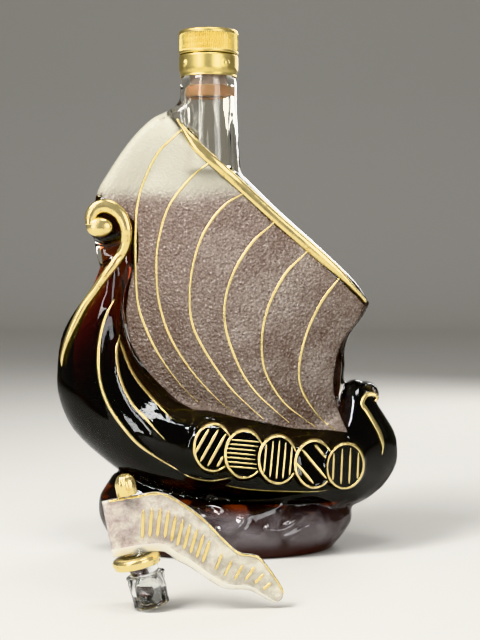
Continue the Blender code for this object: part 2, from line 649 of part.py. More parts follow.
def build_stopper(glass, gilt, plastic):
    """Pennant stopper: glass flag and shank, gilt finial and collar, clear ribbed sleeve."""
    flag = make_object("stopper_glass", *pennant_solid(), glass)
    combine(flag, shape(cylinder(MAST_RADIUS, MAST_RADIUS, 30.0, MAST_TOP, 20)))
    core = SLEEVE_RADIUS - SLEEVE_TAPER - SLEEVE_WALL - FIT_GAP
    combine(flag, shape(cylinder(core, core, 1.5, SLEEVE_LENGTH + 2 * SEAT_GAP, 28)))
    combine(flag, shape(cylinder(SHANK_RADIUS, SHANK_RADIUS, SLEEVE_LENGTH + SEAT_GAP,
                                 COLLAR_BOTTOM + COLLAR_THICK + 2.0, 28)))
    flag.data.materials.clear()
    flag.data.materials.append(glass)
    flag.data.transform(stopper_place())

    bore = MAST_RADIUS + FIT_GAP
    top = FINIAL_BOTTOM + FINIAL_HEIGHT
    dome = ((bore, FINIAL_BOTTOM), (FINIAL_RADIUS, FINIAL_BOTTOM),
            (FINIAL_RADIUS, FINIAL_BOTTOM + 0.45 * FINIAL_HEIGHT),
            (0.88 * FINIAL_RADIUS, FINIAL_BOTTOM + 0.75 * FINIAL_HEIGHT),
            (0.5 * FINIAL_RADIUS, FINIAL_BOTTOM + 0.95 * FINIAL_HEIGHT),
            (0.15, top), (0.15, MAST_TOP + SEAT_GAP), (bore, MAST_TOP + SEAT_GAP))
    finial = make_object("stopper_finial", *turned(dome, 22), gilt)
    combine(finial, shape(cylinder(0.6, 0.6, MAST_TOP + 1.0, top - 0.05, 12)))
    finial.data.materials.clear()
    finial.data.materials.append(gilt)
    finial.data.transform(stopper_place())

    hole = SHANK_RADIUS + FIT_GAP
    top = COLLAR_BOTTOM + COLLAR_THICK
    rings = [oval_ring(hole, COLLAR_BOTTOM), oval_ring(COLLAR_RADIUS - 1.0, COLLAR_BOTTOM, 1),
             oval_ring(COLLAR_RADIUS, COLLAR_BOTTOM + 1.2, 1),
             oval_ring(COLLAR_RADIUS, top - 1.2, 1), oval_ring(COLLAR_RADIUS - 1.0, top, 1),
             oval_ring(hole, top)]
    stopper_object("stopper_collar", closed_loft(rings), gilt)

    inner = SLEEVE_RADIUS - SLEEVE_TAPER - SLEEVE_WALL
    tip = SLEEVE_RADIUS - SLEEVE_TAPER
    rings = [ribbed_ring(inner, 0.0), ribbed_ring(tip, 0.0), ribbed_ring(tip, 1.6),
             ribbed_ring(tip, 2.0, SLEEVE_RIB_DEPTH),
             ribbed_ring(SLEEVE_RADIUS - 0.2, SLEEVE_LENGTH - 1.4, SLEEVE_RIB_DEPTH),
             ribbed_ring(SLEEVE_RADIUS, SLEEVE_LENGTH - 1.0),
             ribbed_ring(SLEEVE_RADIUS, SLEEVE_LENGTH), ribbed_ring(inner, SLEEVE_LENGTH)]
    stopper_object("stopper_sleeve", closed_loft(rings), plastic)


def main():
    for item in list(bpy.data.objects):
        bpy.data.objects.remove(item)
    glass = make_material("moulded glass", (0.55, 0.42, 0.32), 0.08, alpha=0.35)
    spirit = make_material("brandy", (0.16, 0.05, 0.012), 0.05, alpha=0.8)
    gilt = make_material("fired gilding", (0.80, 0.62, 0.26), 0.25, metallic=1.0)
    foil = make_material("anodised aluminium", (0.76, 0.64, 0.30), 0.32, metallic=1.0)
    wad = make_material("cap wad", (0.86, 0.85, 0.80), 0.7)
    copper = make_material("pouring insert", (0.62, 0.30, 0.14), 0.4)
    frosted = make_material("frosted glass", (0.78, 0.76, 0.72), 0.45, alpha=0.7)
    clear = make_material("clear plastic", (0.85, 0.86, 0.86), 0.1, alpha=0.4)

    bottle = build_bottle(glass)
    skin = bmesh.new()
    skin.from_mesh(bottle.data)
    tree = BVHTree.FromBMesh(skin)
    skin.free()
    build_brandy(spirit)
    build_pouring_insert(copper)
    build_cap(foil)
    build_liner(wad)
    build_tamper_band(foil)
    for side, end in ((-1, "front"), (1, "back")):
        build_yard(tree, side, "yard_gilding_" + end, gilt)
        build_prow(tree, side, "prow_gilding_" + end, gilt)
        build_stern(tree, side, "stern_gilding_" + end, gilt)
    build_stopper(frosted, gilt, clear)


main()
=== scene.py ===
"""Finish of a ship-shaped spirit decanter: glass, brandy, gilding, closure and stopper.

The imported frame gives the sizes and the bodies.  X runs from the prow (-) to the stern
(+), the front is -Y and Z is up.  Shapes are worked out in millimetres and become metres
when they are put into a mesh.
"""
import math
from functools import partial

import bmesh
import bpy
import numpy as np
from bpy.props import FloatProperty, FloatVectorProperty, IntProperty, PointerProperty
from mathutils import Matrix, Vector


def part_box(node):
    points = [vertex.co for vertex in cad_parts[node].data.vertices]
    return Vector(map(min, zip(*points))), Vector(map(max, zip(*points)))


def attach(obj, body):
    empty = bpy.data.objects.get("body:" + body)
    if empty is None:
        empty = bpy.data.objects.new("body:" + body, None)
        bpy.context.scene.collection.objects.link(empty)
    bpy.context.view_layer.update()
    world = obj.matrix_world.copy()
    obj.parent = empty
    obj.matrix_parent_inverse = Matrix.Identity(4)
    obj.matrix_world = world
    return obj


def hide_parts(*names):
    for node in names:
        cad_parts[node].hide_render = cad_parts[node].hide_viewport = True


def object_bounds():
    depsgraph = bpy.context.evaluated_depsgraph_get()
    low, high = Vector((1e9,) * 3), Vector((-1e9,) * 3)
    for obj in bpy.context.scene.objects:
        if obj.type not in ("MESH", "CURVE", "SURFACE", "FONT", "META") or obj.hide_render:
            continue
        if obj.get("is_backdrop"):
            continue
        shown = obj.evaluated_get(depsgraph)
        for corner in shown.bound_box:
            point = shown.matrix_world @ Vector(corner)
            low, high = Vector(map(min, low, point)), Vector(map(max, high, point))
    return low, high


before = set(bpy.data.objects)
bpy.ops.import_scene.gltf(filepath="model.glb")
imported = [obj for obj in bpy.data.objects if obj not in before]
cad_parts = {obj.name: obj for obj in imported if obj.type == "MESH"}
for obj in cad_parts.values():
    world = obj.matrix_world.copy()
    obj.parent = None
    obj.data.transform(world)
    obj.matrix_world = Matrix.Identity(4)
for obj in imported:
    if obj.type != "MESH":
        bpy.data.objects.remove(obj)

bl_info = {
    "name": "Ship Decanter",
    "version": (1, 0, 0),
    "blender": (4, 5, 0),
    "location": "3D View > Sidebar > Decanter",
    "description": "Finish and stage of a ship-shaped glass decanter",
    "category": "Object",
}

MM = 0.001
TURN = 2 * math.pi
QUARTER = 0.5 * math.pi
SIDES = ((-1, "front"), (1, "back"))
LOADED_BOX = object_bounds()


def corners_of(node):
    """A CAD node's lowest and highest corners in millimetres."""
    return np.array(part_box(node)) / MM


# ---- places read from the frame, in millimetres ------------------------------------
GLASS_LOW, GLASS_HIGH = corners_of("bottle_glass")
CAP_LOW, CAP_HIGH = corners_of("cap_shell")
BAND_LOW, BAND_HIGH = corners_of("tamper_band")
INSERT_LOW, INSERT_HIGH = corners_of("pouring_insert")
FILL_HEIGHT = corners_of("brandy")[1][2]
LIP_TOP = GLASS_HIGH[2]
NECK_X = 0.5 * (CAP_LOW[0] + CAP_HIGH[0])
CAP_RADIUS = 0.5 * (CAP_HIGH[0] - CAP_LOW[0])

# ---- sizes of the ship's body ------------------------------------------------------
HULL_HALF_DEPTH = 37.0
HULL_POINTS = 34            # points down each side of a hull station
FOOT_HALF_LENGTH = 60.0     # of the ground ring
FOOT_HALF_DEPTH = 38.0
FOOT_HEIGHT = 28.0
SHIELD_SIZE = (10.8, 12.9)   # half its width and half its height
PROW_CURL = (-63.4, 176.6)
STERN_CURL = (76.6, 83.6)

# ---- outlines of the ship in the side view, (X, Z) points joined by a smooth curve -----
YARD_EDGE = ((-31.6, 236.1), (-13.7, 220.9), (9.6, 201.8), (29.7, 182.4), (45.9, 167.8),
             (62.2, 152.9), (72.0, 142.9), (78.5, 132.6))
LUFF_EDGE = ((-31.6, 236.1), (-40.8, 230.9), (-51.6, 219.8), (-62.5, 204.1), (-69.5, 191.1),
             (-71.1, 173.0), (-68.4, 154.8), (-59.8, 134.2), (-52.5, 112.0), (-43.1, 94.4),
             (-22.0, 69.0))
LEECH_EDGE = ((78.5, 132.6), (73.5, 123.6), (67.5, 115.6), (64.8, 106.6), (64.8, 98.0),
              (64.0, 88.1), (64.3, 73.0), (65.0, 55.0))
FOOT_EDGE = ((-22.0, 69.0), (-4.0, 65.0), (14.0, 60.5), (35.0, 56.5), (65.0, 55.0))

# The etched field of the sail, a little inside the edges of the glass.
ETCH_HEAD = ((-29.8, 233.2), (-24.6, 226.6), (-18.5, 217.8), (-7.9, 206.2), (8.0, 192.2),
             (23.9, 177.2), (39.8, 164.0), (55.7, 150.0), (66.3, 140.6), (75.0, 131.6))
ETCH_LUFF = ((-29.8, 233.2), (-40.2, 228.9), (-50.6, 218.6), (-61.2, 203.2), (-66.6, 191.6),
             (-61.0, 186.8), (-50.4, 181.0), (-46.9, 171.9), (-46.9, 155.8), (-50.1, 147.9),
             (-52.7, 134.6), (-53.2, 122.9), (-50.6, 110.6), (-44.2, 99.4), (-36.2, 89.9),
             (-26.1, 80.8), (-17.0, 76.4))
ETCH_FOOT = ((-17.0, 76.4), (-6.4, 75.3), (8.0, 71.9), (19.7, 69.7), (34.6, 66.5),
             (45.2, 65.5), (64.9, 65.0))
ETCH_LEECH = ((75.0, 131.6), (72.0, 123.6), (65.1, 114.8), (61.3, 107.4), (58.9, 97.2),
              (58.4, 86.6), (60.8, 75.9), (64.9, 65.0))

# Seams of the sail from the yard to the foot.
SEAMS = (
    ((-22.6, 225.6), (-26.6, 221.9), (-35.6, 213.3), (-43.0, 199.0), (-47.2, 184.0),
     (-48.0, 160.0), (-47.0, 133.6), (-42.0, 117.6), (-34.6, 103.2), (-23.9, 88.9),
     (-14.4, 79.6)),
    ((-5.6, 209.2), (-9.5, 206.2), (-18.4, 199.3), (-30.1, 183.9), (-35.4, 166.1),
     (-36.7, 150.6), (-34.8, 131.1), (-28.5, 113.1), (-17.4, 96.1), (-3.1, 80.8),
     (5.2, 74.4)),
    ((13.4, 193.3), (9.1, 190.7), (0.6, 185.5), (-8.4, 174.9), (-14.8, 161.3), (-18.4, 142.7),
     (-17.6, 123.2), (-10.5, 107.4), (2.2, 88.9), (12.6, 78.4), (21.0, 70.8)),
    ((27.0, 176.7), (23.3, 173.3), (14.3, 164.9), (4.8, 149.6), (0.1, 133.8), (0.9, 117.9),
     (8.0, 98.4), (16.4, 85.8), (27.0, 75.7), (34.6, 69.0)),
    ((44.4, 161.3), (41.2, 158.0), (31.7, 148.0), (22.8, 130.6), (19.6, 113.0), (21.7, 96.3),
     (30.7, 81.0), (41.6, 71.6), (48.6, 66.6)),
    ((62.2, 147.8), (60.0, 144.8), (51.5, 133.6), (43.5, 116.7), (39.6, 99.2), (41.4, 85.9),
     (50.4, 72.1), (58.4, 65.7)),
)

# Hull stations from the stem to the stern post: keel X and Z, deck X and Z, share of depth.
HULL_STATIONS = (
    (-66.5, 155.5, -56.0, 157.5, 0.243), (-72.8, 140.7, -55.0, 141.0, 0.262),
    (-82.0, 128.2, -53.2, 125.5, 0.31), (-89.0, 114.1, -50.6, 112.0, 0.39),
    (-91.4, 96.3, -45.0, 100.5, 0.50), (-90.6, 82.7, -38.6, 91.5, 0.61),
    (-84.1, 66.4, -30.0, 83.0, 0.74), (-72.2, 53.4, -20.0, 78.0, 0.86),
    (-52.7, 38.5, -6.4, 76.0, 0.95), (-28.0, 26.0, 8.0, 72.5, 0.99),
    (0.0, 20.0, 21.0, 69.5, 1.0), (30.0, 18.5, 36.0, 67.0, 0.985),
    (57.0, 20.0, 50.0, 66.0, 0.92), (74.0, 24.5, 60.0, 70.0, 0.80),
    (87.0, 34.5, 63.0, 79.0, 0.62), (93.8, 47.5, 65.5, 88.0, 0.44),
    (92.6, 61.0, 69.0, 91.0, 0.31), (86.5, 72.0, 73.0, 91.0, 0.243),
)
SHIELDS = ((-5.9, 58.9), (10.3, 55.6), (27.7, 52.7), (46.6, 50.2), (63.2, 48.6))

# Gilt lines and moulded ridges, as paths in the side view.
YARD_PATH = ((-25.4, 230.6), (-18.5, 220.6), (-13.2, 214.4), (-2.6, 204.9), (8.0, 195.6),
             (29.2, 176.2), (50.6, 157.9), (61.3, 148.6), (72.1, 137.6), (75.6, 133.4))
PROW_PATH = ((-72.2, 174.6), (-71.8, 178.6), (-69.8, 182.5), (-66.6, 184.4), (-62.8, 184.7),
             (-58.6, 182.8), (-55.1, 179.3), (-52.8, 172.9), (-53.0, 166.6), (-54.9, 160.7),
             (-59.1, 154.3), (-64.4, 147.4), (-69.8, 139.9), (-75.6, 131.9), (-80.4, 122.9),
             (-84.7, 113.3), (-87.4, 104.8), (-87.9, 98.9))
PROW_BALL = (-66.9, 173.6)
STERN_PATH = ((80.8, 79.9), (81.9, 82.2), (79.5, 83.9), (75.5, 83.4), (73.4, 79.4),
              (76.4, 74.5), (79.7, 69.1), (82.8, 63.4), (84.6, 56.8), (84.0, 52.0))
STRAKES = (
    ((-59.3, 134.9), (-64.6, 123.3), (-67.2, 108.6), (-66.2, 92.8), (-60.9, 79.1),
     (-51.4, 66.5), (-42.0, 57.5), (-24.6, 46.5)),
    ((-56.4, 115.9), (-57.7, 106.2), (-55.0, 92.6), (-48.5, 80.6), (-40.1, 72.2),
     (-31.2, 62.8)),
    ((-56.5, 113.4), (-49.7, 97.2), (-40.8, 85.6), (-27.7, 73.0)),
)
KEEL_LINES = (
    ((-21.0, 44.2), (-15.3, 42.1), (-7.5, 41.1), (-1.3, 42.1), (3.9, 43.1)),
    ((0.8, 38.5), (13.2, 36.4), (28.7, 35.4), (44.2, 34.9), (54.6, 35.4)),
)
CHANNEL = ((-49.5, 154.9), (-55.3, 134.8), (-55.8, 121.6), (-52.7, 108.4), (-45.8, 96.8),
           (-36.8, 85.8), (-25.8, 77.3), (-16.8, 73.6), (8.0, 68.3), (34.4, 63.6), (64.4, 62.0))
PANEL_EDGE = ((-18.0, 62.0), (-17.6, 72.0), (-15.6, 75.6), (-4.6, 72.6), (5.4, 68.0),
              (21.1, 64.8), (44.6, 62.2), (62.9, 62.2))
WAVE_CREST = ((-12.6, 32.6), (1.3, 25.9), (9.5, 24.1), (18.3, 24.6), (34.8, 29.5),
              (43.1, 31.6), (48.8, 31.6), (54.4, 28.5), (60.1, 24.9), (65.3, 27.2))
SWIRLS = (
    ((-4.0, 15.6), (3.0, 16.6), (8.0, 19.0), (10.1, 23.0)),
    ((19.8, 17.5), (26.0, 15.5), (33.7, 17.0), (40.4, 21.7), (47.1, 23.7), (51.7, 24.7)),
    ((28.6, 11.4), (34.8, 12.6), (41.4, 15.6), (46.6, 17.6), (50.7, 17.1)),
)

# ---- pennant stopper, worked out upright and then leaned into place ---------------------
STOPPER_PLACE = (-31.4, -136.5)
STOPPER_LEAN = math.radians(12.4)
SLEEVE_RADIUS = 8.8
SLEEVE_TAPER = 0.8
SLEEVE_WALL = 1.6
SLEEVE_LENGTH = 14.3
SHANK_RADIUS = 6.6
COLLAR_BOTTOM = 18.4
COLLAR_THICK = 4.9
COLLAR_RADIUS = 11.0
COLLAR_OFFSET = 2.4
MAST_RADIUS = 2.4
MAST_TOP = 54.5
FINIAL_BOTTOM = 50.6
FINIAL_HEIGHT = 9.6
FINIAL_RADIUS = 4.7
PENNANT_TOP = ((-11.8, 50.3), (-4.9, 50.2), (4.0, 49.6), (11.0, 49.5), (16.4, 47.8),
               (21.3, 43.9), (30.6, 33.8), (39.2, 20.3), (43.6, 14.8), (49.0, 12.5),
               (52.0, 10.2), (55.1, 3.6), (57.6, -3.0), (58.6, -7.6), (57.4, -10.4))
PENNANT_FOOT = ((-12.3, 24.6), (-1.3, 24.2), (9.1, 22.6), (12.2, 20.6), (15.4, 17.0),
                (20.3, 13.0), (29.7, 3.5), (34.7, 0.0), (41.7, -2.1), (45.3, -4.0),
                (50.1, -8.5), (53.4, -10.8), (55.6, -11.3))


# ======================================================================================
# Settings
# ======================================================================================
def hex_colour(code):
    """Linear red, green, blue and alpha of an sRGB hex colour."""
    parts = [int(code[place:place + 2], 16) / 255 for place in (1, 3, 5)]
    linear = [part / 12.92 if part <= 0.04045 else ((part + 0.055) / 1.055) ** 2.4
              for part in parts]
    return (*linear, 1.0)


def colour_property(name, description, code):
    return FloatVectorProperty(name=name, description=description, subtype="COLOR", size=4,
                               min=0.0, max=1.0, default=hex_colour(code))


def length_property(name, description, value):
    return FloatProperty(name=name, description=description, unit="LENGTH",
                         default=value * MM, min=0.0)


class GlassSettings(bpy.types.PropertyGroup):
    wall: length_property("Wall", "Glass between the outside and the brandy", 3.6)
    grain: length_property("Mould grain", "Size of the voxels that fuse the glass", 1.22)
    relief: length_property("Relief", "Height of the moulded strakes and waves", 1.1)
    tint: colour_property("Glass", "Tint of the clear glass", "#F6F4EC")
    brandy: colour_property("Brandy", "Light that the brandy lets through", "#DCAA58")
    etched: colour_property("Empty etched glass", "Etched sail above the brandy", "#B7B3A4")
    stained: colour_property("Filled etched glass", "Etched sail before the brandy", "#867267")


class GildingSettings(bpy.types.PropertyGroup):
    yard_width: length_property("Yard", "Width of the band along the yard", 5.4)
    seam_width: length_property("Seams", "Width of the painted seams", 1.5)
    rise: length_property("Rise", "Height of the raised bands", 1.3)
    bright: colour_property("Gold", "Fired gold where it is thick", "#F8E4A6")
    worn: colour_property("Worn gold", "Fired gold where it is rubbed thin", "#C4A05A")


class ClosureSettings(bpy.types.PropertyGroup):
    knurls: IntProperty(name="Knurls", description="Flutes round the cap", default=90, min=12)
    knurl_depth: length_property("Knurl depth", "Depth of the cap's flutes", 0.75)
    foil: colour_property("Aluminium", "Anodised cap", "#EBD68E")
    copper: colour_property("Insert", "Copper-coloured pouring insert", "#F4CCA2")


class StageSettings(bpy.types.PropertyGroup):
    camera_distance: length_property("Camera distance", "From the ship's middle plane", 750.0)
    camera_height: length_property("Camera height", "Above the table", 157.5)
    sweep: colour_property("Paper", "Pale studio paper", "#CDCBC6")


# ======================================================================================
# Shapes
# ======================================================================================
def smooth_path(points, count):
    """Points evenly spaced along a curve through the given points.

    Each span is the cubic whose slope at a point is half the step between its
    neighbours; the fine curve is then read at equal steps of its length.
    """
    nodes = np.array(points, dtype=float)
    ends = np.vstack([2 * nodes[0] - nodes[1], nodes, 2 * nodes[-1] - nodes[-2]])
    spans = len(nodes) - 1
    t = np.linspace(0.0, spans, spans * 24 + 1)
    index = np.minimum(t.astype(int), spans - 1)
    local = (t - index)[:, None]
    before, start, end, after = (ends[index + shift] for shift in range(4))
    curve = 0.5 * (2 * start + (end - before) * local
                   + (2 * before - 5 * start + 4 * end - after) * local ** 2
                   + (3 * start - before - 3 * end + after) * local ** 3)
    steps = np.concatenate([[0.0], np.cumsum(np.linalg.norm(np.diff(curve, axis=0), axis=1))])
    wanted = np.linspace(0.0, steps[-1], count)
    return np.column_stack([np.interp(wanted, steps, column) for column in curve.T])


def lerp(start, end, share):
    """Blend two values or arrays: the start plus a share of the step to the end."""
    return start + (end - start) * share


def ease(share):
    """Blend share that starts and stops gently: 3 s squared less 2 s cubed."""
    share = np.clip(share, 0.0, 1.0)
    return share * share * (3 - 2 * share)


def grid_faces(rows, columns, around=False, along=False):
    """Quads of a grid of points, closed across its columns or its rows where asked."""
    down = np.arange(rows if along else rows - 1)
    over = np.arange(columns if around else columns - 1)
    row, column = np.meshgrid(down, over, indexing="ij")
    below, beside = (row + 1) % rows, (column + 1) % columns
    quads = np.stack([row * columns + column, row * columns + beside,
                      below * columns + beside, below * columns + column], axis=-1)
    return quads.reshape(-1, 4)


def round_off(share, least):
    """A quarter circle that rises from least at share 0 to 1 at share 1."""
    return np.sqrt(np.clip(1 - (1 - np.clip(share, 0, 1)) ** 2, least, 1))


def full_turn(count):
    """Angles of a full turn, as one row."""
    return np.linspace(0.0, TURN, count, endpoint=False)[None, :]


def grid_of(x, y, z):
    """One grid of points from coordinates that stretch to each other's rows and columns."""
    return np.stack(np.broadcast_arrays(x, y, z), axis=-1)


def inside(radius, outline):
    """A (radius, height) profile from (distance inside a radius, height) pairs."""
    return [(radius - inward, height) for inward, height in outline]


def make_piece(name, solids, material=None, closed=True):
    """Make one object from (points, faces) solids in millimetres; closed faces point out."""
    points, faces, start = [], [], 0
    for corners, polygons in solids:
        points.append(np.asarray(corners, dtype=float).reshape(-1, 3))
        for group in polygons:
            faces += (np.asarray(group) + start).tolist()
        start += len(points[-1])
    mesh = bpy.data.meshes.new(name)
    mesh.from_pydata((np.vstack(points) * MM).tolist(), [], faces)
    mesh.update()
    piece = bpy.data.objects.new(name, mesh)
    bpy.context.scene.collection.objects.link(piece)
    if material:
        mesh.materials.append(material)
    mesh.shade_smooth()
    if closed:
        work = bmesh.new()
        work.from_mesh(mesh)
        bmesh.ops.recalc_face_normals(work, faces=work.faces)
        work.to_mesh(mesh)
        work.free()
    return piece


def tube(rings):
    """Closed solid from rings of points: a grid closed round each ring, with fans at both ends."""
    rings = np.asarray(rings, dtype=float)
    count, size = rings.shape[:2]
    hubs = np.array([rings[0].mean(axis=0), rings[-1].mean(axis=0)])
    here = np.arange(size)
    after = (here + 1) % size
    first = np.column_stack([after, here, np.full(size, count * size)])
    base = (count - 1) * size
    last = np.column_stack([base + here, base + after, np.full(size, count * size + 1)])
    corners = np.vstack([rings.reshape(-1, 3), hubs])
    return corners, [grid_faces(count, size, around=True), first, last]


def ring_solid(rings):
    """Closed solid whose last ring joins its first."""
    rings = np.asarray(rings, dtype=float)
    return rings, [grid_faces(*rings.shape[:2], around=True, along=True)]


def turned_rings(profile, segments, centre=(0.0, 0.0), swell=None):
    """Revolve (radius, z) points: X and Y are the radius times the angle's cosine and sine.

    swell gives the change of radius at an angle, a height and a radius.
    """
    profile = np.asarray(profile, dtype=float)
    angle = full_turn(segments)
    radius, height = profile[:, :1], profile[:, 1:]
    if swell:
        radius = radius + swell(angle, height, radius)
    return grid_of(centre[0] + radius * np.cos(angle), centre[1] + radius * np.sin(angle),
                   height)


def settle(piece):
    """Replace a piece's mesh by what its modifiers make of it."""
    graph = bpy.context.evaluated_depsgraph_get()
    result = bpy.data.meshes.new_from_object(piece.evaluated_get(graph))
    piece.modifiers.clear()
    piece.data = result
    result.shade_smooth()


def fuse(piece, grain, rounds):
    """Melt overlapping solids into one: a voxel remesh, then rounds of smoothing."""
    melt = piece.modifiers.new("Melt", "REMESH")
    melt.mode = "VOXEL"
    melt.voxel_size = grain
    soften = piece.modifiers.new("Soften", "SMOOTH")
    soften.factor = 0.5
    soften.iterations = rounds
    settle(piece)


def cut(piece, tool, operation):
    """Cut a fine closed mesh with another and remove the tool."""
    knife = piece.modifiers.new("Cut", "BOOLEAN")
    knife.operation = operation
    knife.solver = "MANIFOLD"
    knife.object = tool
    settle(piece)
    bpy.data.objects.remove(tool)


def points_of(piece):
    """The piece's points in millimetres."""
    flat = np.empty(len(piece.data.vertices) * 3)
    piece.data.vertices.foreach_get("co", flat)
    return flat.reshape(-1, 3) / MM


def put_points(piece, points):
    """Move the piece's points to these, in millimetres."""
    piece.data.vertices.foreach_set("co", (points * MM).ravel())
    piece.data.update()


def face_centres(piece):
    """The middles of the piece's faces in millimetres."""
    flat = np.empty(len(piece.data.polygons) * 3)
    piece.data.polygons.foreach_get("center", flat)
    return flat.reshape(-1, 3) / MM


def finish_faces(piece, materials, marks):
    """Give a piece its materials, and each face the one that its mark counts to."""
    piece.data.materials.clear()
    for material in materials:
        piece.data.materials.append(material)
    piece.data.polygons.foreach_set("material_index", np.asarray(marks, dtype=np.int32))


def tie(piece, body, node=None):
    """Let a piece move with a body, and hide the node it stands for."""
    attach(piece, body)
    if node:
        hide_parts(node)


def distance_to(path, x, z):
    """Distance in the side view from places to a path, and the share along it."""
    places = np.column_stack([x, z])
    start, end = path[:-1], path[1:]
    step = end - start
    size = (step ** 2).sum(axis=1)
    share = np.clip(((places[:, None] - start) * step).sum(axis=2) / size, 0.0, 1.0)
    gap = np.linalg.norm(places[:, None] - start - share[..., None] * step, axis=2)
    nearest = gap.argmin(axis=1)
    rows = np.arange(len(places))
    return gap[rows, nearest], (nearest + share[rows, nearest]) / len(step)


# ---- bottle surfaces -----------------------------------------------------------------
def patch(top, left, bottom, right, across, down):
    """Blend four edge curves: the two rulings added, less the bilinear corner blend."""
    fine = 240
    share = np.linspace(0.0, 1.0, fine)
    top, left, bottom, right = (smooth_path(edge, fine) for edge in (top, left, bottom, right))

    def at(path, value):
        return np.stack([np.interp(value, share, path[:, axis]) for axis in (0, 1)], axis=-1)

    wide, tall = across[..., None], down[..., None]
    corners = ((1 - wide) * (1 - tall) * top[0] + wide * (1 - tall) * top[-1]
               + (1 - wide) * tall * bottom[0] + wide * tall * bottom[-1])
    return ((1 - tall) * at(top, across) + tall * at(bottom, across)
            + (1 - wide) * at(left, down) + wide * at(right, down) - corners)


def sail_rings(inset):
    """The sail as flat ovals from its yard to its foot.

    Each oval runs round both faces; its depth swells as a sine across and down the sail
    and is rounded off towards every edge, and it fills out where the neck grows from it.
    """
    rim, full, neck_root = 8.5, 21.0, 16.4
    web, brow, width = 0.13, 0.045, 140.0
    turn = full_turn(160)
    down = np.concatenate([[0.0, 0.004, 0.012, 0.024], np.linspace(0.04, 1.0, 90)])[:, None]
    across, down = np.broadcast_arrays(0.5 - 0.5 * np.cos(turn), down)
    u = lerp(inset / width, 1 - inset / width, across)
    v = lerp(inset / width, 1.0, down)
    place = patch(YARD_EDGE, LUFF_EDGE, FOOT_EDGE, LEECH_EDGE, u, v)
    belly = (np.sin(math.pi * np.clip((u - web) / (0.98 - web), 0, 1)) ** 0.9
             * np.sin(math.pi * np.clip(0.12 + 0.8 * v, 0, 1)) ** 0.8)
    throat = np.exp(-((place[..., 0] - NECK_X) / 22) ** 2 - ((place[..., 1] - 222) / 24) ** 2)
    depth = lerp(rim, full, belly)
    depth = np.maximum(depth, lerp(depth, neck_root, throat)) - inset
    side = np.sign(np.sin(turn)) * np.abs(np.sin(turn)) ** 0.32
    return grid_of(place[..., 0], -depth * side * round_off(v / brow, 0.04), place[..., 1])


def hull_rings(inset):
    """The hull as loops round its stations, each a flattened sine from deck to keel."""
    stations, hidden = 110, 4
    table = smooth_path(HULL_STATIONS, stations)
    keel, deck, share = table[:, 0:2], table[:, 2:4], table[:, 4:5]
    span = np.linalg.norm(keel - deck, axis=1)[:, None]
    keel, deck = keel + (deck - keel) * inset / span, deck + (keel - deck) * inset / span
    down = np.linspace(0.0, 1.0, HULL_POINTS)[None, :]
    amidships = np.sin(math.pi * np.linspace(0.0, 1.0, stations))[:, None] ** 2
    bulge = np.sin(math.pi * down ** 0.72) ** lerp(0.72, 0.42, amidships)
    y = (HULL_HALF_DEPTH * share - inset) * np.maximum(bulge, lerp(0.42, 0.10, down))
    line = lerp(deck[:, None], keel[:, None], down[..., None])
    front, back = (grid_of(line[..., 0], side * y, line[..., 1]) for side in (-1, 1))
    rings = np.concatenate([front, back[:, ::-1]], axis=1)
    return rings[hidden:-hidden] if inset else rings


def foot_rings(inset):
    """The wave foot as ovals: it swells above its narrow ground ring, then draws in.

    A level holds a height and how much longer and deeper than the ground ring it is; the
    ovals rise under the prow as a squared cosine.
    """
    levels = ((0.0, -2.2, -2.2), (0.6, -0.9, -0.9), (2.2, 0.0, 0.0), (6.0, 3.4, 0.8),
              (9.0, 5.4, 1.0), (13.0, 8.0, 0.9), (16.0, 9.0, 0.5), (19.5, 8.9, -0.8),
              (22.0, 7.65, -3.0), (FOOT_HEIGHT, 0.9, -9.0))
    levels = smooth_path(levels, 44)
    turn = full_turn(180)
    height, longer, deeper = (levels[:, axis:axis + 1] for axis in range(3))
    x = (FOOT_HALF_LENGTH + longer - inset) * np.cos(turn)
    y = (FOOT_HALF_DEPTH + deeper - inset) * np.sin(turn)
    lift = 12.0 * (height / FOOT_HEIGHT) ** 2 * np.clip(-np.cos(turn), 0, 1) ** 2
    floor = 2.4 if inset else 0.0
    return grid_of(x, y, floor + (height + lift) * (FOOT_HEIGHT - 2 * floor) / FOOT_HEIGHT)


def disc_rings(centre, size, depths):
    """An upright oval plate with rounded rims; depths gives Y and share of size per ring."""
    angle = full_turn(72)
    table = np.array(depths, dtype=float)
    y, share = table[:, :1], table[:, 1:]
    return grid_of(centre[0] + share * size[0] * np.cos(angle), y,
                   centre[1] + share * size[1] * np.sin(angle))


def hull_side(x, z):
    """Half-depth of the plain hull at a place in the side view."""
    front = hull_rings(0.0)[:, :HULL_POINTS]
    nearest = np.argmin((front[..., 0] - x) ** 2 + (front[..., 2] - z) ** 2)
    return -front.reshape(-1, 3)[nearest, 1]


def shield_rings(place, side):
    """A round shield: an oval plate with a raised rim, on the plane that the hull's depth
    a few millimetres to each side of its middle gives.
    """
    reach = 6.0
    depth = hull_side(*place)
    turn = hull_side(place[0] + reach, place[1]) - hull_side(place[0] - reach, place[1])
    tilt = hull_side(place[0], place[1] + reach) - hull_side(place[0], place[1] - reach)
    angle = full_turn(72)
    table = np.array(((1.0, -4.0), (1.0, 0.9), (0.96, 1.5), (0.9, 1.6), (0.84, 1.1),
                      (0.5, 1.3), (0.02, 1.4)))
    share, rise = table[:, :1], table[:, 1:]
    x = share * SHIELD_SIZE[0] * np.cos(angle)
    z = share * SHIELD_SIZE[1] * np.sin(angle)
    y = side * (depth + rise + (turn * x + tilt * z) / (2 * reach))
    return grid_of(place[0] + x, y, place[1] + z)


